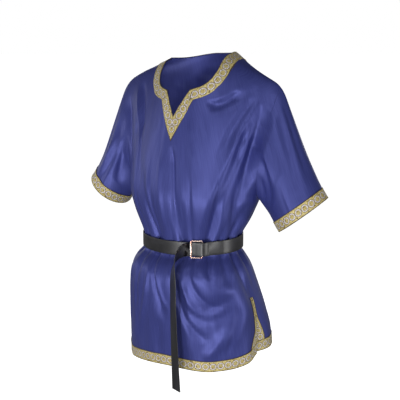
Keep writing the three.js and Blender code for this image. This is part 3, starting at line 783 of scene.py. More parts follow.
@dataclass(frozen=True)
class Crease:
    """A crease or, with a negative depth, a ridge: a curve seen square to its panel."""

    start: tuple[float, float]
    by: tuple[float, float]
    end: tuple[float, float]
    width: float
    depth: float

    def depth_at(self, x: Array, z: Array) -> Array:
        """Depth of the crease, which fades at both ends.

        Args:
            x: Places across the panel.
            z: Their heights.

        Returns:
            The depth at each place.
        """
        t = np.linspace(0.0, 1.0, 41)
        curve = [(1 - t) ** 2 * start + 2 * t * (1 - t) * by + t**2 * end
                 for start, by, end in zip(self.start, self.by, self.end)]
        nearest, place = np.full(x.shape, np.inf), np.zeros_like(x)
        for px, pz, at in zip(*curve, t):
            distance = np.hypot(x - px, z - pz)
            closer = distance < nearest
            nearest = np.where(closer, distance, nearest)
            place = np.where(closer, at, place)
        ends = smoothstep(place, -0.02, 0.2) * (1 - smoothstep(place, 0.75, 1.02))
        return self.depth * ends * bell(nearest, self.width)


def by_side(table: dict[Side, list[tuple[float, ...]]]) -> dict[Side, list[Crease]]:
    """Reads each panel's creases from rows of start, by and end, then width and depth."""
    return {side: [Crease(row[:2], row[2:4], row[4:6], *row[6:]) for row in rows]
            for side, rows in table.items()}


@dataclass(frozen=True)
class Wave:
    """Soft unevenness of the cloth: height, width and length of a wave, and its pattern."""

    height: float
    width: float
    length: float
    seed: int


DRAPE = (Wave(0.9, 26.0, 150.0, 5), Wave(0.45, 11.0, 70.0, 9))
FINE_GATHERS = Wave(1.5, 4.3, 160.0, 3)     # its width is in degrees
SECTIONS = np.array([   # height, half width, half depth, centre across the depth
    (-355, 191, 141, -38), (-372, 190, 140, -39), (-400, 178, 132, -40),
    (-435, 162, 121, -42), (-467, 142.2, 108.6, -47.4), (-487, 141.5, 108, -48),
    (-507, 142.3, 108.6, -48.6), (-513, 143.6, 110, -49.6), (-530, 158, 125, -55),
    (-553, 171, 138, -55), (-593, 181, 148, -47), (-643, 191, 155, -35),
    (-696, 198, 161, -24), (-758, 205, 166, -13), (-827, 208, 168, -6)], float)
HEM = {      # place across from the right slit, -1, to the left one, 1, and height
    Side.FRONT: [(-1, -806), (-0.8, -826), (-0.6, -833), (-0.3, -820), (0, -811),
                 (0.4, -818), (0.7, -809), (0.88, -798), (1, -786)],
    Side.BACK: [(-1, -806), (-0.8, -800), (0, -792), (0.8, -779), (1, -786)]}
# Heights of the rows below the underarm, and places across of a half panel's columns.
BODY_ROWS = [-827, -812, -797, -758, -716, -673, -630, -602, -577, -553, -530, -507, -487,
             -467, -445, -418, -388, -355]
COLUMNS = [0.0, 0.05, 0.1, 0.144, 0.2, 0.26, 0.33, 0.375, 0.4, 0.453, 0.485, 0.506, 0.57,
           0.63, 0.69, 0.75, 0.82, 0.882, 0.94, 1.0]
NECKLINE = {    # place across, neckline height, height of the ribbon's outer edge
    Side.FRONT: [(0, -149, -212), (0.05, -126, -186), (0.1, -102, -159),
                 (0.144, -81, -134), (0.2, -77, -106), (0.26, -71, -101),
                 (0.33, -56, -93), (0.375, -34, -85), (0.4, 11, -77), (0.453, 11, -60),
                 (0.485, 11, -41), (0.506, 11, -24)],
    Side.BACK: [(0, 6, -24), (0.05, 6, -24), (0.1, 6.2, -24), (0.144, 6.5, -24),
                (0.2, 7, -24), (0.26, 7.6, -24), (0.33, 8.8, -23.5), (0.375, 10, -22),
                (0.4, 11, -20), (0.453, 11, -17), (0.485, 11, -14.5), (0.506, 11, -12)]}
GATHERS_ABOVE = [Gather(*row) for row in (
    (-152, 3, 7, 9, 150), (-128, -4, 6, 8, 120), (-104, 2, 7, 9, 160),
    (-80, -3, 6, 8, 110), (-58, 0, 6, 8, 150), (-37, -4, 5, 7, 95), (-17, -3, 6, 10, 120),
    (2, 2, 4.5, 6, 75), (18, -6, 5.5, 9, 140), (39, 14, 6, 11, 170), (56, 8, 5, 7, 100),
    (73, 5, 6, 11, 170), (96, 3, 6, 8, 130), (118, -2, 6.5, 9, 150), (141, 4, 6, 8, 120),
    (164, -2, 7, 10, 160))]
GATHERS_BELOW = [Gather(*row) for row in (
    (-158, -2, 7, 10, 190), (-131, 3, 6, 8, 130), (-106, 0, 7, 10, 200),
    (-82, 3, 6, 8, 120), (-58, -3, 6, 7, 150), (-36, -1, 5, 8, 110),
    (-20, 1, 5.5, 11, 170), (-2, 3, 5, 7, 90), (14, 5, 5.5, 11, 150), (29, -3, 4.5, 7, 80),
    (43, 4, 5, 8, 110), (61, 3, 5.5, 9, 130), (79, 4, 5.5, 12, 210), (97, 3, 5.5, 11, 200),
    (119, -2, 6, 9, 140), (143, 3, 7, 10, 190), (168, 0, 6, 8, 130))]
CREASES = by_side({
    Side.FRONT: [
        (214, -110, 199, -250, 141, -455, 17, 14), (205, -163, 176, -330, 92, -455, 15, 11),
        (92, -120, 124, -132, 160, -84, 14, 6), (-176, -70, -128, -290, -102, -440, 20, -7),
        (-212, -110, -190, -230, -166, -345, 16, 9), (-150, -140, -108, -290, -86, -420, 15, 5),
        (3, -222, 28, -340, 52, -450, 14, 5), (58, -150, 84, -260, 96, -380, 20, -4),
        (-38, -540, -30, -665, 10, -676, 14, 5), (48, -545, 82, -740, 176, -600, 19, 8),
        (189, -590, 186, -700, 140, -775, 20, -7), (-96, -560, -112, -690, -128, -800, 20, -5),
        (60, -600, 66, -700, 60, -800, 22, -4)],
    Side.BACK: [
        (-206, -120, -184, -250, -120, -450, 17, 12), (208, -120, 180, -270, 112, -450, 16, 11),
        (-60, -60, 0, -110, 70, -64, 16, 6), (-52, -150, -44, -300, -34, -440, 20, 6),
        (46, -170, 58, -300, 40, -450, 18, 6), (-150, -560, -70, -720, 20, -600, 20, 7),
        (96, -560, 120, -690, 116, -790, 20, 7), (-168, -600, -176, -700, -150, -790, 20, -6)]})
# Narrower creases than the solids have: drag lines, darts over the belt and swags.
FINE_CREASES = by_side({
    Side.FRONT: [
        (183, -150, 163, -300, 93, -470, 6.5, 10.5), (193, -180, 174, -310, 116, -460, 6.5, -6),
        (208, -190, 192, -330, 140, -475, 8, 14), (168, -170, 146, -300, 84, -430, 6.5, -4.5),
        (192, -88, 150, -160, 122, -275, 8, 5.5), (200, -110, 168, -170, 146, -270, 7, -3.5),
        (84, -106, 112, -142, 152, -78, 7.5, 7), (100, -96, 128, -112, 158, -62, 6, -3),
        (130, -96, 160, -110, 190, -70, 8, 3.5), (-190, -80, -130, -150, -116, -300, 5.5, -4.5),
        (-168, -72, -128, -120, -122, -215, 9, 6), (-222, -120, -196, -240, -170, -360, 7, -4),
        (-150, -190, -150, -300, -112, -440, 6.5, 3.5), (-95, -300, -66, -400, -44, -478, 5, 10),
        (-62, -330, -44, -410, -26, -480, 5, 5), (-78, -290, -56, -390, -34, -470, 5.5, -3.5),
        (-122, -330, -104, -420, -78, -480, 5.5, 6), (-30, -250, -22, -360, -8, -460, 7, -3),
        (4, -222, 24, -330, 36, -480, 5, 6.5), (14, -380, 24, -430, 38, -484, 4.5, 8),
        (62, -200, 80, -330, 70, -460, 9, -3), (66, -310, 72, -400, 58, -478, 5.5, 6.5),
        (150, -230, 140, -320, 104, -420, 6, -2.5), (-46, -498, -34, -600, -4, -660, 6, 8),
        (-58, -505, -50, -620, -102, -735, 7, -6), (-26, -520, -12, -620, 16, -655, 6, -4),
        (-98, -500, -96, -590, -112, -690, 7, 5), (-130, -505, -140, -640, -150, -760, 9, -4),
        (44, -505, 72, -744, 180, -612, 9, -10), (30, -500, 44, -720, 124, -736, 8, 6.5),
        (62, -512, 92, -640, 150, -640, 7, 5), (100, -510, 128, -640, 176, -570, 26, -7),
        (100, -498, 108, -530, 122, -560, 6, 5), (150, -700, 140, -770, 96, -790, 12, -5),
        (-20, -690, -30, -750, -28, -800, 14, 3), (176, -640, 172, -720, 150, -790, 7, 4)],
    Side.BACK: [
        (-190, -150, -160, -280, -104, -470, 6.5, 7), (-176, -150, -146, -290, -92, -465, 7, -4),
        (196, -150, 166, -290, 112, -470, 6.5, 7), (182, -160, 150, -300, 100, -465, 7, -4),
        (-20, -130, -10, -280, 6, -475, 7, 3.5), (90, -140, 96, -280, 72, -470, 7, 4),
        (-100, -140, -92, -280, -66, -470, 7, 4), (-70, -60, 0, -96, 78, -62, 7, 4),
        (-130, -75, -60, -140, 40, -120, 9, 3), (-50, -498, -40, -640, -60, -760, 7, 6),
        (-38, -500, -20, -650, 30, -700, 7, -4), (50, -498, 62, -640, 40, -770, 7, 6),
        (104, -500, 100, -640, 60, -720, 7, -4), (-118, -498, -112, -600, -90, -700, 6, 5)]})


@dataclass
class BodyShape:
    """The worn body of the tunic: one surface for each panel, in millimetres."""

    seam: float = 0.4                   # gap between the two panels
    ribbon_width: float = 30.0
    underarm: float = -355.0
    hem: float = -827.0                 # the lowest row, which the hem's own curve lifts
    slit_top: float = -630.0
    belt: float = -487.0                # the middle of the belt
    belt_centre: float = -48.0          # and of the body there, across its depth
    belt_slope: tuple[float, float] = (0.02, 0.04)      # rise towards the left and the back
    slope_fade: tuple[float, float] = (35.0, 220.0)     # distances from the belt
    pressed: float = 32.0               # nothing stands proud so near to the belt's middle
    neck: tuple[float, float, float] = (97.0, 11.0, 27.0)   # half width, height, rise
    shoulder: tuple[float, float, float] = (243.0, -4.0, -72.0)     # top of the armhole
    shoulder_sag: tuple[float, float] = (4.0, -6.0)     # on the left and on the right
    right_neck: tuple[float, float] = (18.0, 0.28)      # drop, and share that it stands back
    right_tip: float = 0.75             # share of that drop which the armhole's top is spared
    seam_forward: tuple[float, float] = (3.0, 9.5)      # degrees at the slit's top, the hem
    tuck: tuple[float, float, float] = (-560.0, 6.0, 24.0)  # at the slit: top, depth, width
    slit_turn: dict[Side, float] = field(
        default_factory=lambda: {Side.FRONT: 5.0, Side.BACK: 15.0})
    slit_ribbon_top: float = 0.25       # share of its width that the slit's ribbon keeps
    narrow_from: dict[Side, float] = field(
        default_factory=lambda: {Side.FRONT: -740.0, Side.BACK: -670.0})
    narrow_across: tuple[float, float] = (0.66, 0.882)  # columns that make way for it
    armhole_bulge: dict[Side, float] = field(
        default_factory=lambda: {Side.FRONT: 43.0, Side.BACK: 62.0})
    chest: dict[Side, tuple[float, int, int]] = field(      # lean, roundness, spread
        default_factory=lambda: {Side.FRONT: (0.4, 5, 5), Side.BACK: (0.12, 8, 3)})

    def section(self, z: Array) -> tuple[Array, Array, Array]:
        """Reads the table of sections along a smooth curve.

        Args:
            z: Heights.

        Returns:
            Half width, half depth and centre across the depth.
        """
        last = len(SECTIONS) - 1
        row = np.clip(np.searchsorted(-SECTIONS[:, 0], -z, side="left") - 1, 0, last - 1)
        low, high = SECTIONS[row], SECTIONS[row + 1]
        before, after = SECTIONS[np.maximum(row - 1, 0)], SECTIONS[np.minimum(row + 2, last)]
        span = high[..., 0] - low[..., 0]
        t = np.clip((z - low[..., 0]) / span, 0.0, 1.0)
        out = []
        for k in (1, 2, 3):
            start = (high[..., k] - before[..., k]) / (high[..., 0] - before[..., 0]) * span
            end = (after[..., k] - low[..., k]) / (after[..., 0] - low[..., 0]) * span
            out.append(hermite(t, low[..., k], start, high[..., k], end))
        return out[0], out[1], out[2]

    def slope(self, x: Array, y: Array, z: Array) -> Array:
        """How far the belt's slope lifts a point.

        Args:
            x: Place across.
            y: Place along the depth.
            z: Height.

        Returns:
            The lift.
        """
        reach = 1.0 - smoothstep(np.abs(z - self.belt), *self.slope_fade)
        return (self.belt_slope[0] * x + self.belt_slope[1] * (y - self.belt_centre)) * reach

    def hem_lift(self, side: Side, u: Array) -> Array:
        """Height of the hem over the lowest row, with the table's corners eased.

        Args:
            side: The panel.
            u: Places across.

        Returns:
            The lift.
        """
        table = np.array(HEM[side], float)
        taps = [np.interp(np.clip(u + step, -1, 1), table[:, 0], table[:, 1])
                for step in (-0.05, 0.0, 0.05)]
        eased = (taps[0] + taps[1] + taps[2]) / 3.0
        return blend(eased, taps[1], smoothstep(np.abs(u), 0.9, 0.97)) - self.hem

    def half_turn(self, side: Side, z: Array) -> Array:
        """Half of a panel's turn round the body.

        Args:
            side: The panel.
            z: Heights.

        Returns:
            The angle in radians; the side seams run forward of the middle.
        """
        at_top, at_hem = self.seam_forward
        above = at_top * (1 - smoothstep(z, self.slit_top, self.underarm))
        below = (at_hem - at_top) * (1 - smoothstep(z, self.hem, self.slit_top))
        return np.radians(90.0 + side.value * (above + below))

    def gathers(self, angle: Array, z: Array) -> Array:
        """Depth of the belt's gathers, the fine ones between them included.

        Args:
            angle: Degrees round the body.
            z: Heights.

        Returns:
            The depth at each place.
        """
        away = np.abs(z - self.belt)
        above, below = (sum(row.depth_at(angle, away) for row in rows)
                        for rows in (GATHERS_ABOVE, GATHERS_BELOW))
        fine = smooth_noise(angle / FINE_GATHERS.width + 40, away / FINE_GATHERS.length,
                            FINE_GATHERS.seed)
        fade = np.clip(1 - away / 95.0, 0, 1) ** 1.5
        return np.where(z > self.belt, above, below) + FINE_GATHERS.height * fine * fade

    def relief(self, side: Side, u: Array, x: Array, z: Array) -> Array:
        """How far the surface moves out from the plain form.

        Args:
            side: The panel.
            u: Places across, from seam to seam.
            x: The same in millimetres.
            z: Heights.

        Returns:
            The distance outwards at each place.
        """
        sign = np.where(u < 0, -1.0, 1.0)
        angle = 90.0 * u if side is Side.FRONT else sign * (180.0 - 90.0 * np.abs(u))
        seam = 1 - np.abs(np.clip(u, -1, 1)) ** 12
        creases = sum(row.depth_at(x, z) for row in CREASES[side] + FINE_CREASES[side])
        drape = sum(wave.height * smooth_noise(x / wave.width, z / wave.length,
                                               wave.seed + side.value) for wave in DRAPE)
        amount = -self.gathers(angle, z) - creases * seam + drape * seam
        return np.where(np.abs(z - self.belt) < self.pressed, np.minimum(amount, 0), amount)

    def lower(self, side: Side, u: Array, z: Array) -> Array:
        """Points of the body below the underarm.

        Args:
            side: The panel.
            u: Places across, from seam to seam.
            z: Heights.

        Returns:
            The points.
        """
        a, b, centre = self.section(z)
        half = self.half_turn(side, z)
        turn = u * half
        x, y = a * np.sin(turn), centre + side.value * b * np.cos(turn)
        lift = self.hem_lift(side, u) * np.clip(
            (self.slit_top - z) / (self.slit_top - self.hem - self.ribbon_width), 0, 1)
        height = z + lift + self.slope(x, y, z)
        out = ellipse_out(turn, a, b, side.value)
        point = np.stack([x, y, height], -1) + out * self.relief(side, u, x, z)[..., None]
        top, depth, reach = self.tuck
        tuck = depth * (1 - smoothstep(z, self.slit_top, top)) * bell(
            (1 - np.abs(u)) * half * b, reach)
        edge = smoothstep(np.abs(u), 0.8, 1.0) * (1 - smoothstep(z, self.hem, self.slit_top))
        point[..., 0] -= np.sign(u) * (tuck + self.slit_turn[side] * edge)
        return point

    def ridge(self, x: Array) -> Array:
        """Height of the shoulder line.

        Args:
            x: Places across.

        Returns:
            The heights.
        """
        across = np.abs(x)
        neck_x, neck_z, rise = self.neck
        slope = (self.shoulder[2] - neck_z) / (self.shoulder[0] - neck_x)
        return np.where(across < neck_x, neck_z + rise * (1 - (across / neck_x) ** 2),
                        neck_z + slope * (across - neck_x))

    def upper(self, side: Side, u: Array, rise: Array) -> Array:
        """Points of the body over the underarm.

        Args:
            side: The panel.
            u: Places across, from armhole to armhole.
            rise: Share of the way up to the shoulder line.

        Returns:
            The points.
        """
        a, b, centre = self.section(np.full(u.shape, self.underarm))
        turn, top_x, size = u * math.pi / 2, self.shoulder[0] * u, np.minimum(np.abs(u), 1.0)
        top_y = self.shoulder[1] * smoothstep(size, 0.4, 1.0)
        ring_y = centre + side.value * b * np.cos(turn)
        lean, roll, power = self.chest[side]
        edge, inside = size**power, np.clip(rise, 0, 1)
        rolled = (1 - lean * inside) * np.maximum(1 - inside**roll, 0) ** 0.45
        shape = blend(rolled, 1 - inside, edge)
        bulge = side.value * self.armhole_bulge[side] * edge * np.maximum(
            np.sin(math.pi * inside), 0) ** 0.8
        drop, back = self.right_neck
        right = smoothstep(-u, -0.05, 0.4) * inside**2
        set_back = back * right * (1 - smoothstep(-u, 0.5, 0.95)) * (side is Side.FRONT)
        x = blend(a * np.sin(turn), top_x, inside)
        y = top_y + (ring_y - top_y) * shape * (1 - set_back) + bulge
        along = np.clip((np.abs(top_x) - self.neck[0]) / (self.shoulder[0] - self.neck[0]),
                        0, 1)
        sag = np.where(u < 0, self.shoulder_sag[1], self.shoulder_sag[0]) * np.sin(
            math.pi * along)
        z = (blend(self.underarm, self.ridge(top_x), inside) - sag * inside**3
             - drop * right * (1 - self.right_tip * smoothstep(-u, 0.5, 1.0)))
        ring_out = ellipse_out(turn, a, b, side.value)
        straight = np.zeros_like(ring_out)
        straight[..., 1] = side.value
        out = unit(blend(ring_out, straight, inside[..., None]))
        amount = self.relief(side, u, x, z) * (1 - inside**6)
        point = np.stack([x, y, z + self.slope(x, y, z) * (1 - inside)], -1)
        return point + out * amount[..., None]

    def ribbon_column(self, side: Side, u: Array, z: Array) -> Array:
        """Moves the columns beside the slit out where its ribbon narrows to the top.

        Args:
            side: The panel.
            u: Places across.
            z: Heights.

        Returns:
            The moved places.
        """
        narrow = (1 - self.slit_ribbon_top) * smoothstep(
            z, self.hem + self.ribbon_width, self.narrow_from[side]) * (
            1 - smoothstep(z, self.slit_top, self.belt))
        share = smoothstep(np.abs(u), *self.narrow_across)
        return u + np.sign(u) * (1 - np.abs(u)) * narrow * share

    def points(self, side: Side, u: Array, level: Array) -> Array:
        """Points of a panel.

        Args:
            side: The panel.
            u: Places across, from the right seam (-1) to the left one (1).
            level: Below 0 the table's height, and from 0 up the share of the way from the
                underarm to the shoulder line.

        Returns:
            The points, in the shape of u and level together.
        """
        u, level = np.broadcast_arrays(np.asarray(u, float), np.asarray(level, float))
        below = level < -1.0
        z = np.where(below, level, self.underarm)
        out = np.where(below[..., None], self.lower(side, self.ribbon_column(side, u, z), z),
                       self.upper(side, u, np.where(below, 0.0, level)))
        out[..., 1] += side.value * self.seam / 2
        return out


def eased_table(x: Array, knots: Sequence[float], values: Sequence[float],
                corners: Sequence[float]) -> Array:
    """Smooth curve through a table that never overshoots it, and turns sharply at corners.

    Args:
        x: Places to read.
        knots: The table's places, rising.
        values: The table's values.
        corners: Knots where the curve may turn sharply.

    Returns:
        The curve's values.
    """
    xs, ys = np.asarray(knots, float), np.asarray(values, float)
    spans = np.diff(xs)
    secants = np.diff(ys) / spans
    left = np.concatenate([secants[:1], secants])
    right = np.concatenate([secants, secants[-1:]])
    for k in range(1, len(xs) - 1):
        if any(abs(xs[k] - corner) < 1e-6 for corner in corners):
            continue
        a, b = secants[k - 1], secants[k]
        left[k] = right[k] = 0.0 if a * b <= 0 else 2 * a * b / (a + b)
    row = np.clip(np.searchsorted(xs, x, side="right") - 1, 0, len(xs) - 2)
    t = np.clip((x - xs[row]) / spans[row], 0, 1)
    return hermite(t, ys[row], right[row] * spans[row], ys[row + 1],
                   left[row + 1] * spans[row])


# ------------------------------------------------------------------ cloth and ribbon
@dataclass
class Stitching:
    """Lines of sewing thread along a ribbon's two edges, in millimetres."""

    pitch: float = 4.6
    length: float = 3.0
    thick: float = 0.75
    lift: float = 0.1       # of the thread's middle over the ribbon
    inset: float = 0.06     # share of the ribbon's width from each edge
    body_axis: tuple[float, float] = (-30.0, -60.0)     # along the depth, and under the stitch
    arm_from: float = 225.0     # past this place across, a stitch is on a sleeve
    arm_axis: tuple[float, float, float] = (285.0, -20.0, -350.0)

    def sew(self, name: str, bands: Sequence[Array]) -> bpy.types.Object:
        """Lays stitches along the edges of ribbon bands.

        Args:
            name: Name of the piece.
            bands: Grids of a ribbon's upper face, along by across by three.

        Returns:
            All the stitches as one piece.
        """
        work = bmesh.new()
        for band in bands:
            for share in (self.inset, 1.0 - self.inset):
                self._line(work, band, share)
        return new_piece(name, work)

    def _line(self, work: bmesh.types.BMesh, band: Array, share: float) -> None:
        """Adds one line of stitches.

        Args:
            work: The bmesh that takes them.
            band: Grid of the ribbon's upper face.
            share: Share of the ribbon's width.
        """
        place = share * (band.shape[1] - 1)
        low = int(place)
        line = blend(band[:, low], band[:, low + 1], place - low)
        beside = band[:, low + 1] - band[:, low]
        far = arc_lengths(line)
        count = int(far[-1] / self.pitch)
        sizes = (self.length / 2, self.thick / 2, self.thick / 2)
        for step in range(count):
            at = (step + 0.5) * far[-1] / count
            row = min(int(np.searchsorted(far, at, side="right")) - 1, len(line) - 2)
            t = (at - far[row]) / max(far[row + 1] - far[row], 1e-6)
            along = unit(line[row + 1] - line[row])
            centre = blend(line[row], line[row + 1], t)
            normal = self._facing(unit(np.cross(along, beside[row])), centre)
            axes = (along, np.cross(normal, along), normal)
            frame = Matrix([[*(axis * size * MM), 0.0] for axis, size in zip(axes, sizes)]
                           + [[0.0, 0.0, 0.0, 1.0]]).transposed()
            frame.translation = Vector((centre + normal * self.lift) * MM)
            bmesh.ops.create_icosphere(work, subdivisions=1, radius=1.0, matrix=frame)

    def _facing(self, out: Array, centre: Array) -> Array:
        """Turns a direction away from the middle line of the body or the arm.

        Args:
            out: The direction.
            centre: Where it starts.

        Returns:
            The direction or its opposite.
        """
        middle = np.array([0.0, self.body_axis[0], centre[2] + self.body_axis[1]])
        if abs(centre[0]) > self.arm_from:
            middle = np.array([math.copysign(self.arm_axis[0], centre[0]), *self.arm_axis[1:]])
        return out if float(np.dot(out, centre - middle)) > 0 else -out


@dataclass
class Garment:
    """The sewn tunic: its cloth pieces, its ribbons and their stitches."""

    shape: BodyShape
    cloth: bpy.types.Material
    ribbon: bpy.types.Material
    thread: bpy.types.Material
    cloth_wall: float = 1.6
    ribbon_wall: float = 1.2
    ribbon_lift: float = 0.3
    turning: float = 3.5        # cloth turned in at every edge
    tight: float = 0.15         # share of a cell that an edge's bend takes
    cells: tuple[int, int] = (5, 4)     # cells to a column and to a row below the underarm
    rise_cells: int = 42        # from the underarm up to the neck ribbon's outer edge
    ribbon_cells: int = 10      # from there to the neckline
    slit_columns: int = 2       # columns under the slit's ribbon
    shelf: float = 0.506        # column where the neck ribbon ends
    corner: float = 0.4         # column where the neckline meets the shoulder line
    arm_columns: int = 3        # columns along the straight arm of the slit neck
    pitch: float = 20.0         # of the ribbon's rings
    reach: tuple[int, int] = (9, 6)     # columns and rows eased beside an armhole
    ease_rows: float = 20.0     # over this many rows from the underarm the easing sets in
    chest_rows: tuple[tuple[float, float], ...] = ((-22.0, -12.0), (10.0, 22.0))
    chest_rounds: int = 24      # of smoothing, full between those rows of the underarm's
    ridge_lift: float = 0.6     # turns the shoulder line's outward direction upwards
    stitching: Stitching = field(default_factory=Stitching)
    grids: dict[Side, Array] = field(default_factory=dict)
    outward: dict[Side, Array] = field(default_factory=dict)

    def __post_init__(self) -> None:
        """Works out the points of both panels and both sleeves."""
        half = subdivide(COLUMNS, self.cells[0])
        self.across = np.concatenate([-half[:0:-1], half])
        self.below = subdivide(BODY_ROWS, self.cells[1])
        self.rise_rows = np.arange(1, self.rise_cells + 1) / self.rise_cells
        self.underarm_row = len(self.below) - 1
        self.shelf_row = self.underarm_row + self.rise_cells
        for side in Side:
            self.grids[side] = self.shape.points(side, self.across[:, None],
                                                 self._levels(side))
            self._soften_chest(side)
        self.sleeves = {cuff.hand: cuff.grid(self) for cuff in CUFFS}
        for hand in Hand:
            self._ease_armhole(hand)
        for side in Side:
            self.outward[side] = outward_normals(self.grids[side], -side.value)

    def _soften_chest(self, side: Side) -> None:
        """Rounds a panel over the height where the chest turns in towards the belt.

        Args:
            side: The panel.
        """
        grid = self.grids[side]
        rows = np.arange(grid.shape[1], dtype=float) - self.underarm_row
        low, high = self.chest_rows
        rounded = smoothstep(rows, *low) * (1 - smoothstep(rows, *high))
        weight = (1 - smoothstep(np.abs(self.across), 0.72, 0.95))[:, None] * rounded
        soft = grid.copy()
        for _ in range(self.chest_rounds):
            soft[:, 1:-1] = (soft[:, :-2] + 2 * soft[:, 1:-1] + soft[:, 2:]) / 4
        self.grids[side] = blend(grid, soft, weight[..., None])

    def _ease_armhole(self, hand: Hand) -> None:
        """Rounds the cloth over an armhole's seam, so that panel and sleeve run on smoothly.

        Args:
            hand: The sleeve.
        """
        sleeve, rows = self.sleeves[hand], self.rise_cells + self.ribbon_cells
        edge = len(self.across) - 1 if hand is Hand.LEFT else 0
        columns = edge - hand.value * np.arange(self.reach[0] + 2)
        top = sleeve[rows].copy()
        tops = []
        for side in Side:
            grid = self.grids[side]
            for k in range(1, rows + 1):
                index = k if side is Side.FRONT else len(sleeve) - 1 - k
                line = top if k == rows else sleeve[index]
                row = self.underarm_row + k
                panel = grid[columns, row]
                weight = smoothstep(np.array(float(k)), 0.0, self.ease_rows)
                run = np.concatenate([panel[self.reach[0]::-1], line[:self.reach[1] + 1]])
                far = arc_lengths(run)
                begin, end = run[0], run[-1]
                leave = unit(begin - panel[self.reach[0] + 1]) * far[-1] / 3
                arrive = unit(line[self.reach[1] + 1] - end) * far[-1] / 3
                t = (far / far[-1])[:, None]
                eased = blend(run, bezier(t, begin, begin + leave, end - arrive, end), weight)
                grid[columns[:self.reach[0] + 1], row] = eased[self.reach[0]::-1]
                if k == rows:
                    tops.append(eased[self.reach[0] + 1:])
                else:
                    sleeve[index, :self.reach[1] + 1] = eased[self.reach[0] + 1:]
        sleeve[rows, :self.reach[1] + 1] = (tops[0] + tops[1]) / 2

    def _levels(self, side: Side) -> Array:
        """Levels of every point of a panel.

        Args:
            side: The panel.

        Returns:
            The levels, columns by rows, as BodyShape.points reads them.
        """
        shape, size = self.shape, np.abs(self.across)
        table = np.array(NECKLINE[side], float)
        rest = [u for u in COLUMNS if u > table[-1, 0]]
        ridges = shape.ridge(shape.shoulder[0] * np.array(rest))
        knots = np.concatenate([table[:, 0], rest])
        notch = COLUMNS[self.arm_columns]
        outer = eased_table(size, knots, np.concatenate(
            [table[:, 2], ridges - shape.ribbon_width]), (notch,))
        neck = eased_table(size, knots, np.concatenate([table[:, 1], ridges]),
                           (notch, 0.375, self.corner))
        span = shape.ridge(shape.shoulder[0] * size) - shape.underarm
        shelf = (outer - shape.underarm) / span
        top = np.where(size >= self.corner - 1e-9, 1.0,
                       np.minimum((neck - shape.underarm) / span, 1))
        steps = np.arange(1, self.ribbon_cells + 1) / self.ribbon_cells
        upper = np.concatenate([shelf[:, None] * self.rise_rows,
                                shelf[:, None] + (top - shelf)[:, None] * steps], axis=1)
        lower = np.broadcast_to(self.below, (len(size), len(self.below)))
        return np.concatenate([lower, upper], axis=1)

    def _turn_in(self, grid: Array, normals: Array, ends: tuple[bool, bool]) -> Array:
        """Adds a strip of cloth turned in at the edges of a grid.

        Args:
            grid: Points, columns by rows by three.
            normals: Their outward directions.
            ends: Whether the first and last columns, and the first and last rows, turn in.

        Returns:
            The larger grid.
        """
        for axis, wanted in enumerate(ends):
            if not wanted:
                continue
            grid, normals = (np.moveaxis(part, axis, 0) for part in (grid, normals))
            first, last = (blend(grid[k], grid[m], self.tight) for k, m in ((0, 1), (-1, -2)))
            grid = np.concatenate([
                [grid[0] - normals[0] * self.turning, grid[0], first], grid[1:-1],
                [last, grid[-1], grid[-1] - normals[-1] * self.turning]])
            normals = np.concatenate([normals[:1], normals[:1], normals, normals[-1:],
                                      normals[-1:]])
            grid, normals = (np.moveaxis(part, 0, axis) for part in (grid, normals))
        return grid

    def _lay(self, name: str, band: Array, normals: Array, chart: Array,
             inside_out: bool) -> tuple[bpy.types.Object, Array]:
        """Lays a band of ribbon over its cloth.

        Args:
            name: Name of the sheet.
            band: Points of the cloth under it, along by across by three.
            normals: Their outward directions.
            chart: Place on the pattern in millimetres, along by across by two.
            inside_out: Turns the faces over.

        Returns:
            The sheet and the points of its upper face.
        """
        base = band + normals * self.ribbon_lift
        sheet = grid_object(name, base, chart / self.pitch, inside_out)
        return sheet, base + normals * self.ribbon_wall

    def _finish_cloth(self, piece: bpy.types.Object, node: str) -> bpy.types.Object:
        """Gives a sheet of cloth its wall and its finish.

        Args:
            piece: The sheet.
            node: Node that it replaces.

        Returns:
            The same sheet.
        """
        add_wall(piece, self.cloth_wall, outward=False)
        dress(piece, self.cloth, node)
        return piece

    def _finish_ribbon(self, piece: bpy.types.Object, node: str,
                       faces: Sequence[Array]) -> list[bpy.types.Object]:
        """Gives a ribbon its wall, its finish and its stitches.

        Args:
            piece: The ribbon's sheet.
            node: Node that it replaces.
            faces: Grids of its upper face.

        Returns:
            The ribbon and its stitches.
        """
        add_wall(piece, self.ribbon_wall, outward=True)
        dress(piece, self.ribbon, node)
        stitches = self.stitching.sew(piece.name.replace("ribbon", "stitches"), faces)
        dress(stitches, self.thread)
        return [piece, stitches]

    def panel(self, side: Side) -> bpy.types.Object:
        """Makes the cloth of one body panel.

        Args:
            side: The panel.

        Returns:
            The cloth.
        """
        name = side.name.lower()
        grid = self._turn_in(self.grids[side], self.outward[side], (True, True))
        piece = grid_object(f"{name}_cloth", grid, cut_chart(grid), side is Side.BACK)
        return self._finish_cloth(piece, f"{name}_panel")

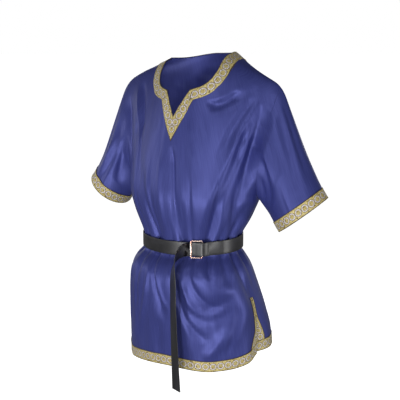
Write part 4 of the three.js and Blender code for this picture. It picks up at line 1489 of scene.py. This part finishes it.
    def hem_ribbon(self, side: Side) -> list[bpy.types.Object]:
        """Makes the ribbon along the hem and both slits of one panel.

        Args:
            side: The panel.

        Returns:
            The ribbon and its stitches.
        """
        grid, out, width = self.grids[side], self.outward[side], self.shape.ribbon_width
        top, slit = (int(np.argmin(np.abs(self.below - height)))
                     for height in (self.shape.hem + width, self.shape.slit_top))
        edge = self.slit_columns * self.cells[0]
        stretches = [(slice(None), slice(0, top + 1))]
        hem = grid[stretches[0]]
        along = arc_lengths(hem[:, 0])
        charts = [(along - along.mean())[:, None], arc_lengths(hem, 1)]
        charts = [np.stack(np.broadcast_arrays(*charts), -1)]
        for right in (True, False):
            columns = slice(0, edge + 1) if right else slice(len(grid) - edge - 1, len(grid))
            stretches.append((columns, slice(top, slit + 1)))
            part = grid[stretches[-1]]
            far = arc_lengths(part[::-1])[::-1] if right else arc_lengths(part)
            height = arc_lengths(part[0 if right else -1])
            charts.append(np.stack(np.broadcast_arrays(height[None, :], width - far), -1))
        sheets, faces = zip(*(
            self._lay("stretch", grid[place], out[place], chart, side is Side.BACK)
            for place, chart in zip(stretches, charts)))
        name = side.name.lower()
        bands = [faces[0], *(face.transpose(1, 0, 2) for face in faces[1:])]
        return self._finish_ribbon(join(f"{name}_hem_ribbon", sheets), f"hem_trim_{name}",
                                   bands)

    def neck_ribbon(self) -> list[bpy.types.Object]:
        """Makes the ribbon round the neckline, over both shoulders.

        Returns:
            The ribbon and its stitches.
        """
        middle = len(self.across) // 2
        outer, corner = (int(np.argmin(np.abs(self.across - u))) - middle
                         for u in (self.shelf, self.corner))
        tops = {side: self.grids[side].copy() for side in Side}
        ways = {side: self.outward[side].copy() for side in Side}
        ridge = np.abs(np.arange(len(self.across)) - middle) >= corner
        both = (tops[Side.FRONT][ridge, -1] + tops[Side.BACK][ridge, -1]) / 2
        way = unit(ways[Side.FRONT][ridge, -1] + ways[Side.BACK][ridge, -1]
                   + np.array([0.0, 0.0, self.ridge_lift]))
        for side in Side:
            tops[side][ridge, -1] = both
            ways[side][ridge, -1] = way
        sheets, faces, reach = [], [], {}
        for side in Side:
            for step in (1, -1):
                columns = np.arange(0, outer + 1) * step + middle
                band, out = (part[side][columns, self.shelf_row:][:, ::-1]
                             for part in (tops, ways))
                arm = self.arm_columns * self.cells[0] if side is Side.FRONT else 0
                chart = self._neck_chart(band, corner, arm)
                if side is Side.FRONT:
                    reach[step] = chart[-1, :, 0].mean()
                else:
                    chart[..., 0] = reach[step] + chart[-1, :, 0].mean() - chart[..., 0]
                sheet, face = self._lay("stretch", band, out, chart,
                                        (side is Side.FRONT) == (step > 0))
                sheets.append(sheet)
                faces.append(face[:corner + 1])
        return self._finish_ribbon(join("neck_ribbon", sheets), "neck_trim", faces)

    def _neck_chart(self, band: Array, corner: int, arm: int) -> Array:
        """Pattern position on half of a neckline's side, in millimetres.

        The slit's straight arm is measured square to itself, so the pattern is mitred at the
        tip. Past it, each point is measured from the nearest place on the neckline's edge.

        Args:
            band: Points from the neckline's edge to the ribbon's outer edge.
            corner: Column where the neckline meets the shoulder line.
            arm: Column where the straight arm ends, or 0 where there is none.

        Returns:
            Distance along and across for every point.
        """
        inner = band[:corner + 1, 0]
        far = arc_lengths(inner)
        chart = np.zeros(band.shape[:2] + (2,))
        if arm:
            along = unit(inner[arm] - inner[0])
            offset = band[:arm + 1] - inner[0]
            chart[:arm + 1, :, 0] = offset @ along
            chart[:arm + 1, :, 1] = np.linalg.norm(
                offset - chart[:arm + 1, :, :1] * along, axis=-1)
        start, step = inner[arm:-1], np.diff(inner[arm:], axis=0)
        length = np.linalg.norm(step, axis=-1)
        points = band[arm + 1 if arm else 0:]
        offset = points[:, :, None] - start
        share = np.clip(np.sum(offset * step, -1) / length**2, 0, 1)
        away = np.linalg.norm(offset - share[..., None] * step, axis=-1)
        best = np.argmin(away, axis=-1)[..., None]
        across = np.take_along_axis(away, best, -1)[..., 0]
        place = np.take_along_axis(share, best, -1) * length[best] + far[arm:-1][best]
        last = unit(inner[-1] - inner[-2])
        fan = np.sum((points - inner[-1]) * last, axis=-1) / np.maximum(across, 1e-6)
        width = self.shape.ribbon_width
        past_end = width / 2 * np.arcsin(np.clip(fan, 0, 1))
        place = place[..., 0] + np.where(place[..., 0] > far[-1] - 0.01, past_end, 0.0)
        chart[arm + 1 if arm else 0:, :, 0] = place
        chart[arm + 1 if arm else 0:, :, 1] = across
        chart[..., 1] *= width / np.maximum(chart[:, -1, 1][:, None], width)
        return chart

    def sleeve(self, cuff: Cuff) -> list[bpy.types.Object]:
        """Makes a sleeve and the ribbon at its cuff.

        Args:
            cuff: The end of the sleeve.

        Returns:
            The sleeve, the ribbon and its stitches.
        """
        name, left = cuff.hand.name.lower(), cuff.hand is Hand.LEFT
        grid = self.sleeves[cuff.hand]
        out = outward_normals(grid, -cuff.hand.value, closed=True)
        whole = self._turn_in(grid, out, (False, True))
        piece = grid_object(f"{name}_sleeve", whole, cut_chart(whole), left, closed=True)
        rows = slice(-2 * cuff.cells - 1, None)
        band = grid[:, rows]
        along = arc_lengths(band[:, -1])
        whole_rings = round(along[-1] / self.pitch) * self.pitch / along[-1]
        chart = np.stack(np.broadcast_arrays((along * whole_rings)[:, None],
                                             arc_lengths(band, 1)), -1)
        sheet, face = self._lay(f"{name}_cuff_ribbon", band, out[:, rows], chart, left)
        merge_close(sheet)
        return [self._finish_cloth(piece, f"sleeve_{name}"),
                *self._finish_ribbon(sheet, f"cuff_trim_{name}", [face])]


@dataclass(frozen=True)
class SleeveFold:
    """A fold of a sleeve: degrees round it from its front towards its top.

    start and end are shares of the way to the cuff's ribbon, twist is how many degrees the
    fold turns round the sleeve between them, and width is in degrees.
    """

    angle: float
    start: float
    end: float
    width: float
    depth: float
    twist: float = 0.0


SLEEVE_FOLDS = {
    Hand.LEFT: [SleeveFold(*row) for row in (
        (-38, -0.2, 0.62, 15, 10), (-22, -0.15, 0.5, 7, -4), (2, -0.2, 0.5, 13, 5),
        (14, -0.1, 0.75, 8, 3, 8), (34, 0.05, 0.86, 12, 4), (52, 0.1, 0.7, 8, -2.5),
        (62, 0.1, 0.8, 10, 3.5), (96, -0.1, 0.7, 14, 2.5), (128, 0.0, 0.8, 14, 5),
        (160, -0.2, 0.55, 13, 7), (205, -0.1, 0.66, 15, 8), (-62, -0.1, 0.4, 8, 6))],
    Hand.RIGHT: [SleeveFold(*row) for row in (
        (-38, -0.2, 0.62, 15, 10), (2, -0.2, 0.5, 13, 6), (-20, 0.15, 0.95, 9, 6, 34),
        (-2, 0.1, 0.85, 8, -5, 30), (34, 0.05, 0.86, 12, 4), (62, 0.1, 0.8, 10, 3.5),
        (128, 0.0, 0.8, 14, 5), (160, -0.2, 0.55, 13, 7), (205, -0.1, 0.66, 15, 8))]}


# The armhole counts in rows of the coarse net that the solids have: the underarm is row 0, the
# neck ribbon's outer edge and the shoulder line are these, and a row is so many degrees.
SHELF_ROW, TOP_ROW, ROW_TURN = 7.0, 9.0, 20.0


@dataclass(frozen=True)
class Cuff:
    """The end of a sleeve and how the sleeve leaves its armhole, in millimetres."""

    hand: Hand
    centre: tuple[float, float, float]
    half_height: float
    half_depth: float
    lean: float     # of the sleeve from straight down, in degrees
    swell: float    # how far the top of the sleeve runs on outwards before it turns down
    tilt: float     # how much further out the front of the cuff hangs than its middle
    rows: int = 9
    cells: int = 6
    gap: float = 0.4        # between the armhole and the sleeve's cloth
    spring: float = 0.9     # the same as swell, for the front and the back
    pulls: tuple[float, float] = (0.22, 0.3)    # shares of the length that draw its curve

    def folds(self, angle: float, place: Array) -> Array:
        """Depth of the sleeve's folds.

        Args:
            angle: Degrees round the sleeve.
            place: Shares of the way along it.

        Returns:
            The depth at each place.
        """
        total = np.zeros_like(place)
        for fold in SLEEVE_FOLDS[self.hand]:
            along = np.clip((place - fold.start) / (fold.end - fold.start), 0, 1)
            ends = np.maximum(np.sin(math.pi * along), 0) ** 0.8
            off = turned(angle - fold.angle - fold.twist * along)
            total += fold.depth * ends * bell(off, fold.width)
        ripple = 0.9 * smooth_noise(np.full_like(place, angle / 14.0), place * 2.3,
                                    21 + self.hand.value)
        return (total + ripple * (1 - smoothstep(place, 0.8, 1.0))) * smoothstep(
            place, 0, 0.12)

    def _armhole(self, garment: Garment) -> list[tuple[Array, Array, float]]:
        """Reads the armhole off the two panels.

        Args:
            garment: The garment.

        Returns:
            Up the front and down the back: each point, the direction in which the panel's
            cloth runs out there, and the row.
        """
        edge, beside = (-1, -1 - garment.cells[0]) if self.hand is Hand.LEFT else (
            0, garment.cells[0])
        rows = slice(garment.underarm_row, None)
        (front, to_front), (back, to_back) = (
            (grid[edge, rows], unit(grid[edge, rows] - grid[beside, rows]))
            for grid in (garment.grids[side] for side in Side))
        steps = np.concatenate([
            np.arange(garment.rise_cells) / (garment.rise_cells / SHELF_ROW),
            SHELF_ROW + np.arange(garment.ribbon_cells + 1) * (TOP_ROW - SHELF_ROW)
            / garment.ribbon_cells])
        under, top = (((front[k] + back[k]) / 2, unit(to_front[k] + to_back[k]))
                      for k in (0, -1))
        inner = range(1, len(front) - 1)
        return [(*under, 0.0), *((front[k], to_front[k], steps[k]) for k in inner),
                (*top, TOP_ROW),
                *((back[k], to_back[k], 2 * TOP_ROW - steps[k]) for k in reversed(inner)),
                (*under, 2 * TOP_ROW)]

    def grid(self, garment: Garment) -> Array:
        """Points of the sleeve.

        Args:
            garment: The garment, whose panels give the armhole.

        Returns:
            The points, round the sleeve from the underarm by along it to the cuff.
        """
        lean, sign = math.radians(self.lean), self.hand.value
        down = np.array([sign * math.sin(lean), 0.0, -math.cos(lean)])
        over = np.array([sign * math.cos(lean), 0.0, math.sin(lean)])
        centre = np.array(self.centre, float) * (sign, 1, 1)
        columns = []
        for start, onward, row in self._armhole(garment):
            angle = ROW_TURN * row - 90.0
            cos, sin = math.cos(math.radians(angle)), math.sin(math.radians(angle))
            out = np.array([0.0, -cos, 0.0]) + over * sin
            end = centre + over * self.half_height * sin
            end[1] -= self.half_depth * cos
            end += down * self.tilt * cos
            length = float(np.linalg.norm(end - start))
            spring = self.spring * cos**2 + self.swell * max(sin, 0.0) ** 2
            leave = unit((end - start) / length + onward * spring)
            begin = start + unit(onward + leave) * self.gap
            curve = bezier(np.linspace(0, 1, 161)[:, None], begin,
                           begin + leave * length * self.pulls[0],
                           end - down * length * self.pulls[1], end)
            far = arc_lengths(curve) / arc_lengths(curve)[-1]
            ribbon = 1 - garment.shape.ribbon_width / length
            marks = [ribbon * k / (self.rows - 1) for k in range(self.rows)]
            place = subdivide(marks + [(ribbon + 1) / 2, 1.0], self.cells)
            line = np.stack([np.interp(place, far, curve[:, k]) for k in range(3)], -1)
            columns.append(line - out * self.folds(angle % 360.0, place)[:, None])
        return np.array(columns)


CUFFS = (Cuff(Hand.LEFT, (316, -20, -394), 79, 58, 37, 0.0, 9.0),
         Cuff(Hand.RIGHT, (297, -20, -379), 63, 69, 41, 0.4, 0.0))


# ------------------------------------------------------------------ belt
@dataclass
class Belt:
    """The leather strap and its buckle, in millimetres."""

    shape: BodyShape
    leather: bpy.types.Material
    metal: bpy.types.Material
    width: float = 37.0
    thickness: float = 2.0
    rounding: float = 1.0       # of the strap's edges
    stand_off: float = 1.65     # cloth wall and clearance
    angle: float = 30.8         # the buckle's place round the body, in degrees
    round_waist: tuple[float, float, int] = (2.0, 327.6, 190)   # start, turn and points
    frame_width: float = 33.0
    frame_height: float = 48.0
    wire: float = 3.6
    squareness: float = 0.75    # of the wire's section, where 1 is round
    corner: float = 4.0
    bars: tuple[float, float] = (6.9, 4.6)  # heights of the frame's bars over the belt's line
    inner: float = 1.2          # height of the strap's middle where it lies on the cloth
    loop_height: float = 7.9    # height of its turned end
    over: tuple[tuple[float, float], ...] = (   # its way over the frame: distance and height
        (32, 2.6), (24, 7.4), (16.7, 10.4), (10.7, 10.1), (4, 8.2), (-3, 5.6), (-9, 4.1),
        (-14.7, 3.7), (-19.7, 3.9))
    over_points: int = 49
    tail_points: int = 120
    tail_gather: float = 1.6    # over 1 sets the points closer at the tail's top
    # The tail's middle line, and the direction across the strap.
    tail: tuple[tuple[tuple[float, float, float], tuple[float, float, float]], ...] = (
        ((52, -167, -489), (0.03, -0.2, 0.97)), ((46, -178, -495), (0.1, -0.5, 0.85)),
        ((41.5, -190, -506), (0.3, -0.82, 0.45)), ((40, -200, -522), (0.55, -0.8, 0.12)),
        ((41, -206, -543), (0.74, -0.66, 0)), ((42.5, -209, -570), (0.82, -0.57, 0)),
        ((43.4, -210, -620), (0.83, -0.56, 0)), ((44.5, -209, -700), (0.86, -0.51, 0)),
        ((46.5, -207, -790), (0.9, -0.44, 0)), ((48.5, -205, -862), (0.93, -0.37, 0)))

    @property
    def bar(self) -> float:
        """Distance of the frame's upright bars from its middle."""
        return (self.frame_width - self.wire) / 2

    def place(self, angle: Array) -> tuple[Array, Array, Array]:
        """Reads the belt's line.

        Args:
            angle: Degrees round the body from the centre front.

        Returns:
            Point, outward direction and millimetres for a degree.
        """
        a, b, y = (float(v) for v in self.shape.section(np.array(self.shape.belt)))
        a, b = a + self.stand_off, b + self.stand_off
        turn = np.radians(angle)
        px, py = a * np.sin(turn), y - b * np.cos(turn)
        pz = self.shape.belt + self.shape.slope(px, py, np.full_like(px, self.shape.belt))
        speed = math.radians(1) * np.hypot(a * np.cos(turn), b * np.sin(turn))
        return np.stack([px, py, pz], -1), ellipse_out(turn, a, b, -1), speed

    def near_buckle(self, distance: float, height: float) -> Array:
        """Finds a place near the buckle.

        Args:
            distance: Along the belt from the buckle's middle.
            height: Over the belt's line.

        Returns:
            The point.
        """
        speed = self.place(np.array(self.angle))[2]
        point, out, _ = self.place(np.array(self.angle + distance / speed))
        return point + out * height

    def strap(self) -> bpy.types.Object:
        """Makes the strap: its turned end, the round of the waist, the window and the tail.

        Returns:
            The strap.
        """
        turn = (self.loop_height - self.inner) / 2
        loop = [self.near_buckle(self.bar - back, self.loop_height) for back in (6, 3, 0)]
        loop += [self.near_buckle(self.bar + turn * math.sin(angle),
                                  self.inner + turn + turn * math.cos(angle))
                 for angle in np.radians(range(20, 181, 20))]
        start, sweep, count = self.round_waist
        points, out, _ = self.place(self.angle - start - np.linspace(0, sweep, count))
        window = through([self.near_buckle(*row) for row in self.over], self.over_points)
        hanging, wide = (through([row[k] for row in self.tail], self.tail_points,
                                 self.tail_gather) for k in (0, 1))
        line = np.concatenate([loop, points + out * self.inner, window, hanging])
        upright = np.tile([0.0, 0.0, 1.0], (len(line) - self.tail_points, 1))
        along = unit(np.gradient(line, axis=0))
        across = np.concatenate([upright, wide])
        across = unit(across - along * np.sum(across * along, axis=1, keepdims=True))
        out = unit(np.cross(across, along))
        profile = self._profile()
        grid = (line[:, None] + across[:, None] * profile[None, :, :1]
                + out[:, None] * profile[None, :, 1:])
        far, round_it = arc_lengths(line), arc_lengths(profile)
        LOG.info("the strap is %.0f mm long", far[-1])
        return self._finish("leather_strap", grid, far, round_it, self.leather,
                            "belt_strap", "belt_leather")

    def _profile(self) -> Array:
        """Works out the strap's section: flat faces with rounded edges.

        Returns:
            Across and out for every point, as a closed ring.
        """
        half, thick = self.width / 2 - self.rounding, self.thickness / 2
        flat = np.linspace(-half, half, 7)
        right = [(half + self.rounding * math.cos(a), thick * math.sin(a))
                 for a in np.radians([60, 20, -20, -60])]
        ring = [(x, thick) for x in flat] + right
        ring += [(-x, -y) for x, y in ring]
        return np.array(ring + ring[:1])

    @staticmethod
    def _finish(name: str, grid: Array, far: Array, round_it: Array,
                material: bpy.types.Material, node: str, slot: str) -> bpy.types.Object:
        """Makes a tube with closed ends from its grid of points, and dresses it.

        Args:
            name: Name of the piece.
            grid: Points along the tube by round it by three.
            far: Distances along it.
            round_it: Distances round it.
            material: Its finish.
            node: Node that it replaces.
            slot: Its material slot; not used.

        Returns:
            The piece.
        """
        chart = np.stack(np.broadcast_arrays(far[:, None], round_it[None, :]), -1) * MM
        piece = grid_object(name, grid, chart)
        merge_close(piece, close=True)
        dress(piece, material, node)
        return piece

    def buckle(self) -> bpy.types.Object:
        """Makes the buckle's frame: a round wire along a rectangle with round corners.

        Returns:
            The frame.
        """
        left, right = (self.near_buckle(side * self.bar, height)
                       for side, height in zip((-1, 1), self.bars))
        up = np.array([0.0, 0.0, 1.0])
        across = unit((right - left) * (1, 1, 0))
        out = np.cross(across, up)
        turn = self.corner - self.wire / 2
        half_w, half_h = self.bar - turn, (self.frame_height - self.wire) / 2 - turn
        line, way = [], []
        for sx, sy, first in ((1, 1, 0), (-1, 1, 90), (-1, -1, 180), (1, -1, 270)):
            for angle in np.radians(np.linspace(first, first + 90, 9)):
                way.append((math.cos(angle), math.sin(angle)))
                line.append((sx * half_w + turn * way[-1][0], sy * half_h + turn * way[-1][1]))
        flat_line, flat_way = np.array(line + line[:1]), np.array(way + way[:1])
        angles = np.linspace(0, 2 * math.pi, 17)
        ring = np.stack([np.sign(part) * np.abs(part) ** self.squareness
                         for part in (np.cos(angles), np.sin(angles))], -1) * self.wire / 2
        flat = flat_line[:, None] + flat_way[:, None] * ring[:, :1]
        grid = ((left + right) / 2 + flat[..., :1] * across + flat[..., 1:] * up
                + ring[:, 1:] * out)
        round_it = np.linspace(0, math.pi * self.wire, len(ring))
        return self._finish("buckle", grid, arc_lengths(grid[:, 0]), round_it, self.metal,
                            "buckle_frame", "buckle_metal")


# ------------------------------------------------------------------ studio
@dataclass(frozen=True)
class Lamp:
    """A soft area light that faces a point."""

    name: str
    place: tuple[float, float, float]
    aim: tuple[float, float, float]
    size: float
    power: float

    def add(self) -> None:
        """Adds the light to the scene."""
        data = bpy.data.lights.new(self.name, "AREA")
        data.shape, data.size, data.energy = "DISK", self.size, self.power
        lamp = bpy.data.objects.new(self.name, data)
        lamp.location = self.place
        facing = Vector(self.aim) - Vector(self.place)
        lamp.rotation_euler = facing.to_track_quat("-Z", "Y").to_euler()
        bpy.context.scene.collection.objects.link(lamp)


@dataclass
class Studio:
    """Camera, lights, and the pale floor, a wide flat disc."""

    azimuth: float = 32.0
    distance: float = 2.3
    eye_height: float = 0.060
    pitch: float = 11.1
    lens: float = 76.68
    sensor: float = 36.0
    shift: float = -0.005
    floor: float = -1.45
    reach: float = 60.0
    lamps: tuple[Lamp, ...] = (
        Lamp("key", (-0.6, -2.8, -0.8), (0.0, 0.0, -0.45), 0.4, 15.0),
        Lamp("low front", (0.7, -2.4, -1.15), (0.0, 0.0, -0.8), 0.4, 18.0),
        Lamp("front left", (1.7, -2.3, -0.1), (0.0, 0.0, -0.45), 0.4, 14.0),
        Lamp("side", (2.7, -0.1, -0.95), (0.0, 0.0, -0.5), 0.5, 13.0),
        Lamp("right", (-2.6, -1.2, 0.2), (0.0, 0.0, -0.4), 0.5, 6.0),
        Lamp("top front", (0.6, -2.2, 1.5), (0.0, 0.0, -0.6), 0.7, 10.0),
        Lamp("inside", (0.0, -0.03, -0.33), (0.0, 0.08, -0.08), 0.12, 0.22),
        Lamp("rear", (-1.6, 2.2, 0.2), (0.0, 0.0, -0.4), 1.6, 20.0))
    sky: tuple[tuple[float, str], ...] = (      # from straight down, 0, to straight up, 1
        (0.0, "#6a6a6a"), (0.46, "#6a6a6a"), (0.475, "#ffffff"), (0.53, "#ffffff"),
        (0.6, "#505050"), (1.0, "#444444"))

    def build(self, paper: bpy.types.Material) -> None:
        """Adds the camera, the lights, the world and the floor.

        Args:
            paper: The floor's finish.
        """
        turn = math.radians(self.azimuth)
        data = bpy.data.cameras.new("camera")
        data.lens, data.sensor_width, data.shift_x = self.lens, self.sensor, self.shift
        data.clip_end = self.reach
        camera = bpy.data.objects.new("camera", data)
        camera.location = (self.distance * math.sin(turn), -self.distance * math.cos(turn),
                           self.eye_height)
        camera.rotation_euler = (math.radians(90.0 - self.pitch), 0.0, turn)
        bpy.context.scene.collection.objects.link(camera)
        bpy.context.scene.camera = camera
        for lamp in self.lamps:
            lamp.add()
        world = bpy.data.worlds.new("pale studio")
        world.use_nodes = True
        tree = world.node_tree
        way = add_node(tree, "TexCoord").outputs["Generated"]
        height = add_node(tree, "SeparateXYZ", {"Vector": way}).outputs["Z"]
        height = add_node(tree, "MapRange", {"Value": height, "From Min": -1.0}).outputs[0]
        colour = add_node(tree, "ValToRGB", {"Fac": height}, self.sky).outputs["Color"]
        tree.links.new(colour, tree.nodes["Background"].inputs["Color"])
        bpy.context.scene.world = world
        bpy.context.scene.view_settings.view_transform = "Standard"
        work = bmesh.new()
        bmesh.ops.create_circle(work, cap_ends=True, segments=96, radius=self.reach,
                                matrix=Matrix.Translation((0.0, 0.0, self.floor)))
        floor = new_piece("paper_floor", work)
        floor.data.materials.append(paper)
        floor.visible_diffuse = floor.visible_glossy = False
        floor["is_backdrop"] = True


def flat_area(piece: bpy.types.Object) -> float:
    """Area of a sheet in square metres, before its wall is added."""
    return sum(face.area for face in piece.data.polygons)


def main(cad_box: Any) -> None:
    """Builds the garment, the belt and the studio in order.

    Args:
        cad_box: The solids' box, read straight after loading; not used.
    """
    shape = BodyShape()
    Studio().build(StudioPaper().material())
    garment = Garment(shape, SatinCloth().material(), JacquardRibbon().material(),
                      SewingThread().material())
    front, back = (garment.panel(side) for side in Side)
    front_hem, front_hem_thread = garment.hem_ribbon(Side.FRONT)
    back_hem, back_hem_thread = garment.hem_ribbon(Side.BACK)
    neck, neck_thread = garment.neck_ribbon()
    left, right = (garment.sleeve(cuff) for cuff in CUFFS)
    belt = Belt(shape, BeltLeather().material(), PlatedMetal().material())
    belt.strap()
    belt.buckle()
    for piece in (front, back, front_hem, back_hem, neck, left[0], left[1], right[0],
                  right[1]):
        LOG.info("%s: %.4f square metres", piece.name, flat_area(piece))


if __name__ == "__main__":
    logging.basicConfig(level=logging.INFO, format="%(name)s %(message)s")
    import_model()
    main(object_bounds())
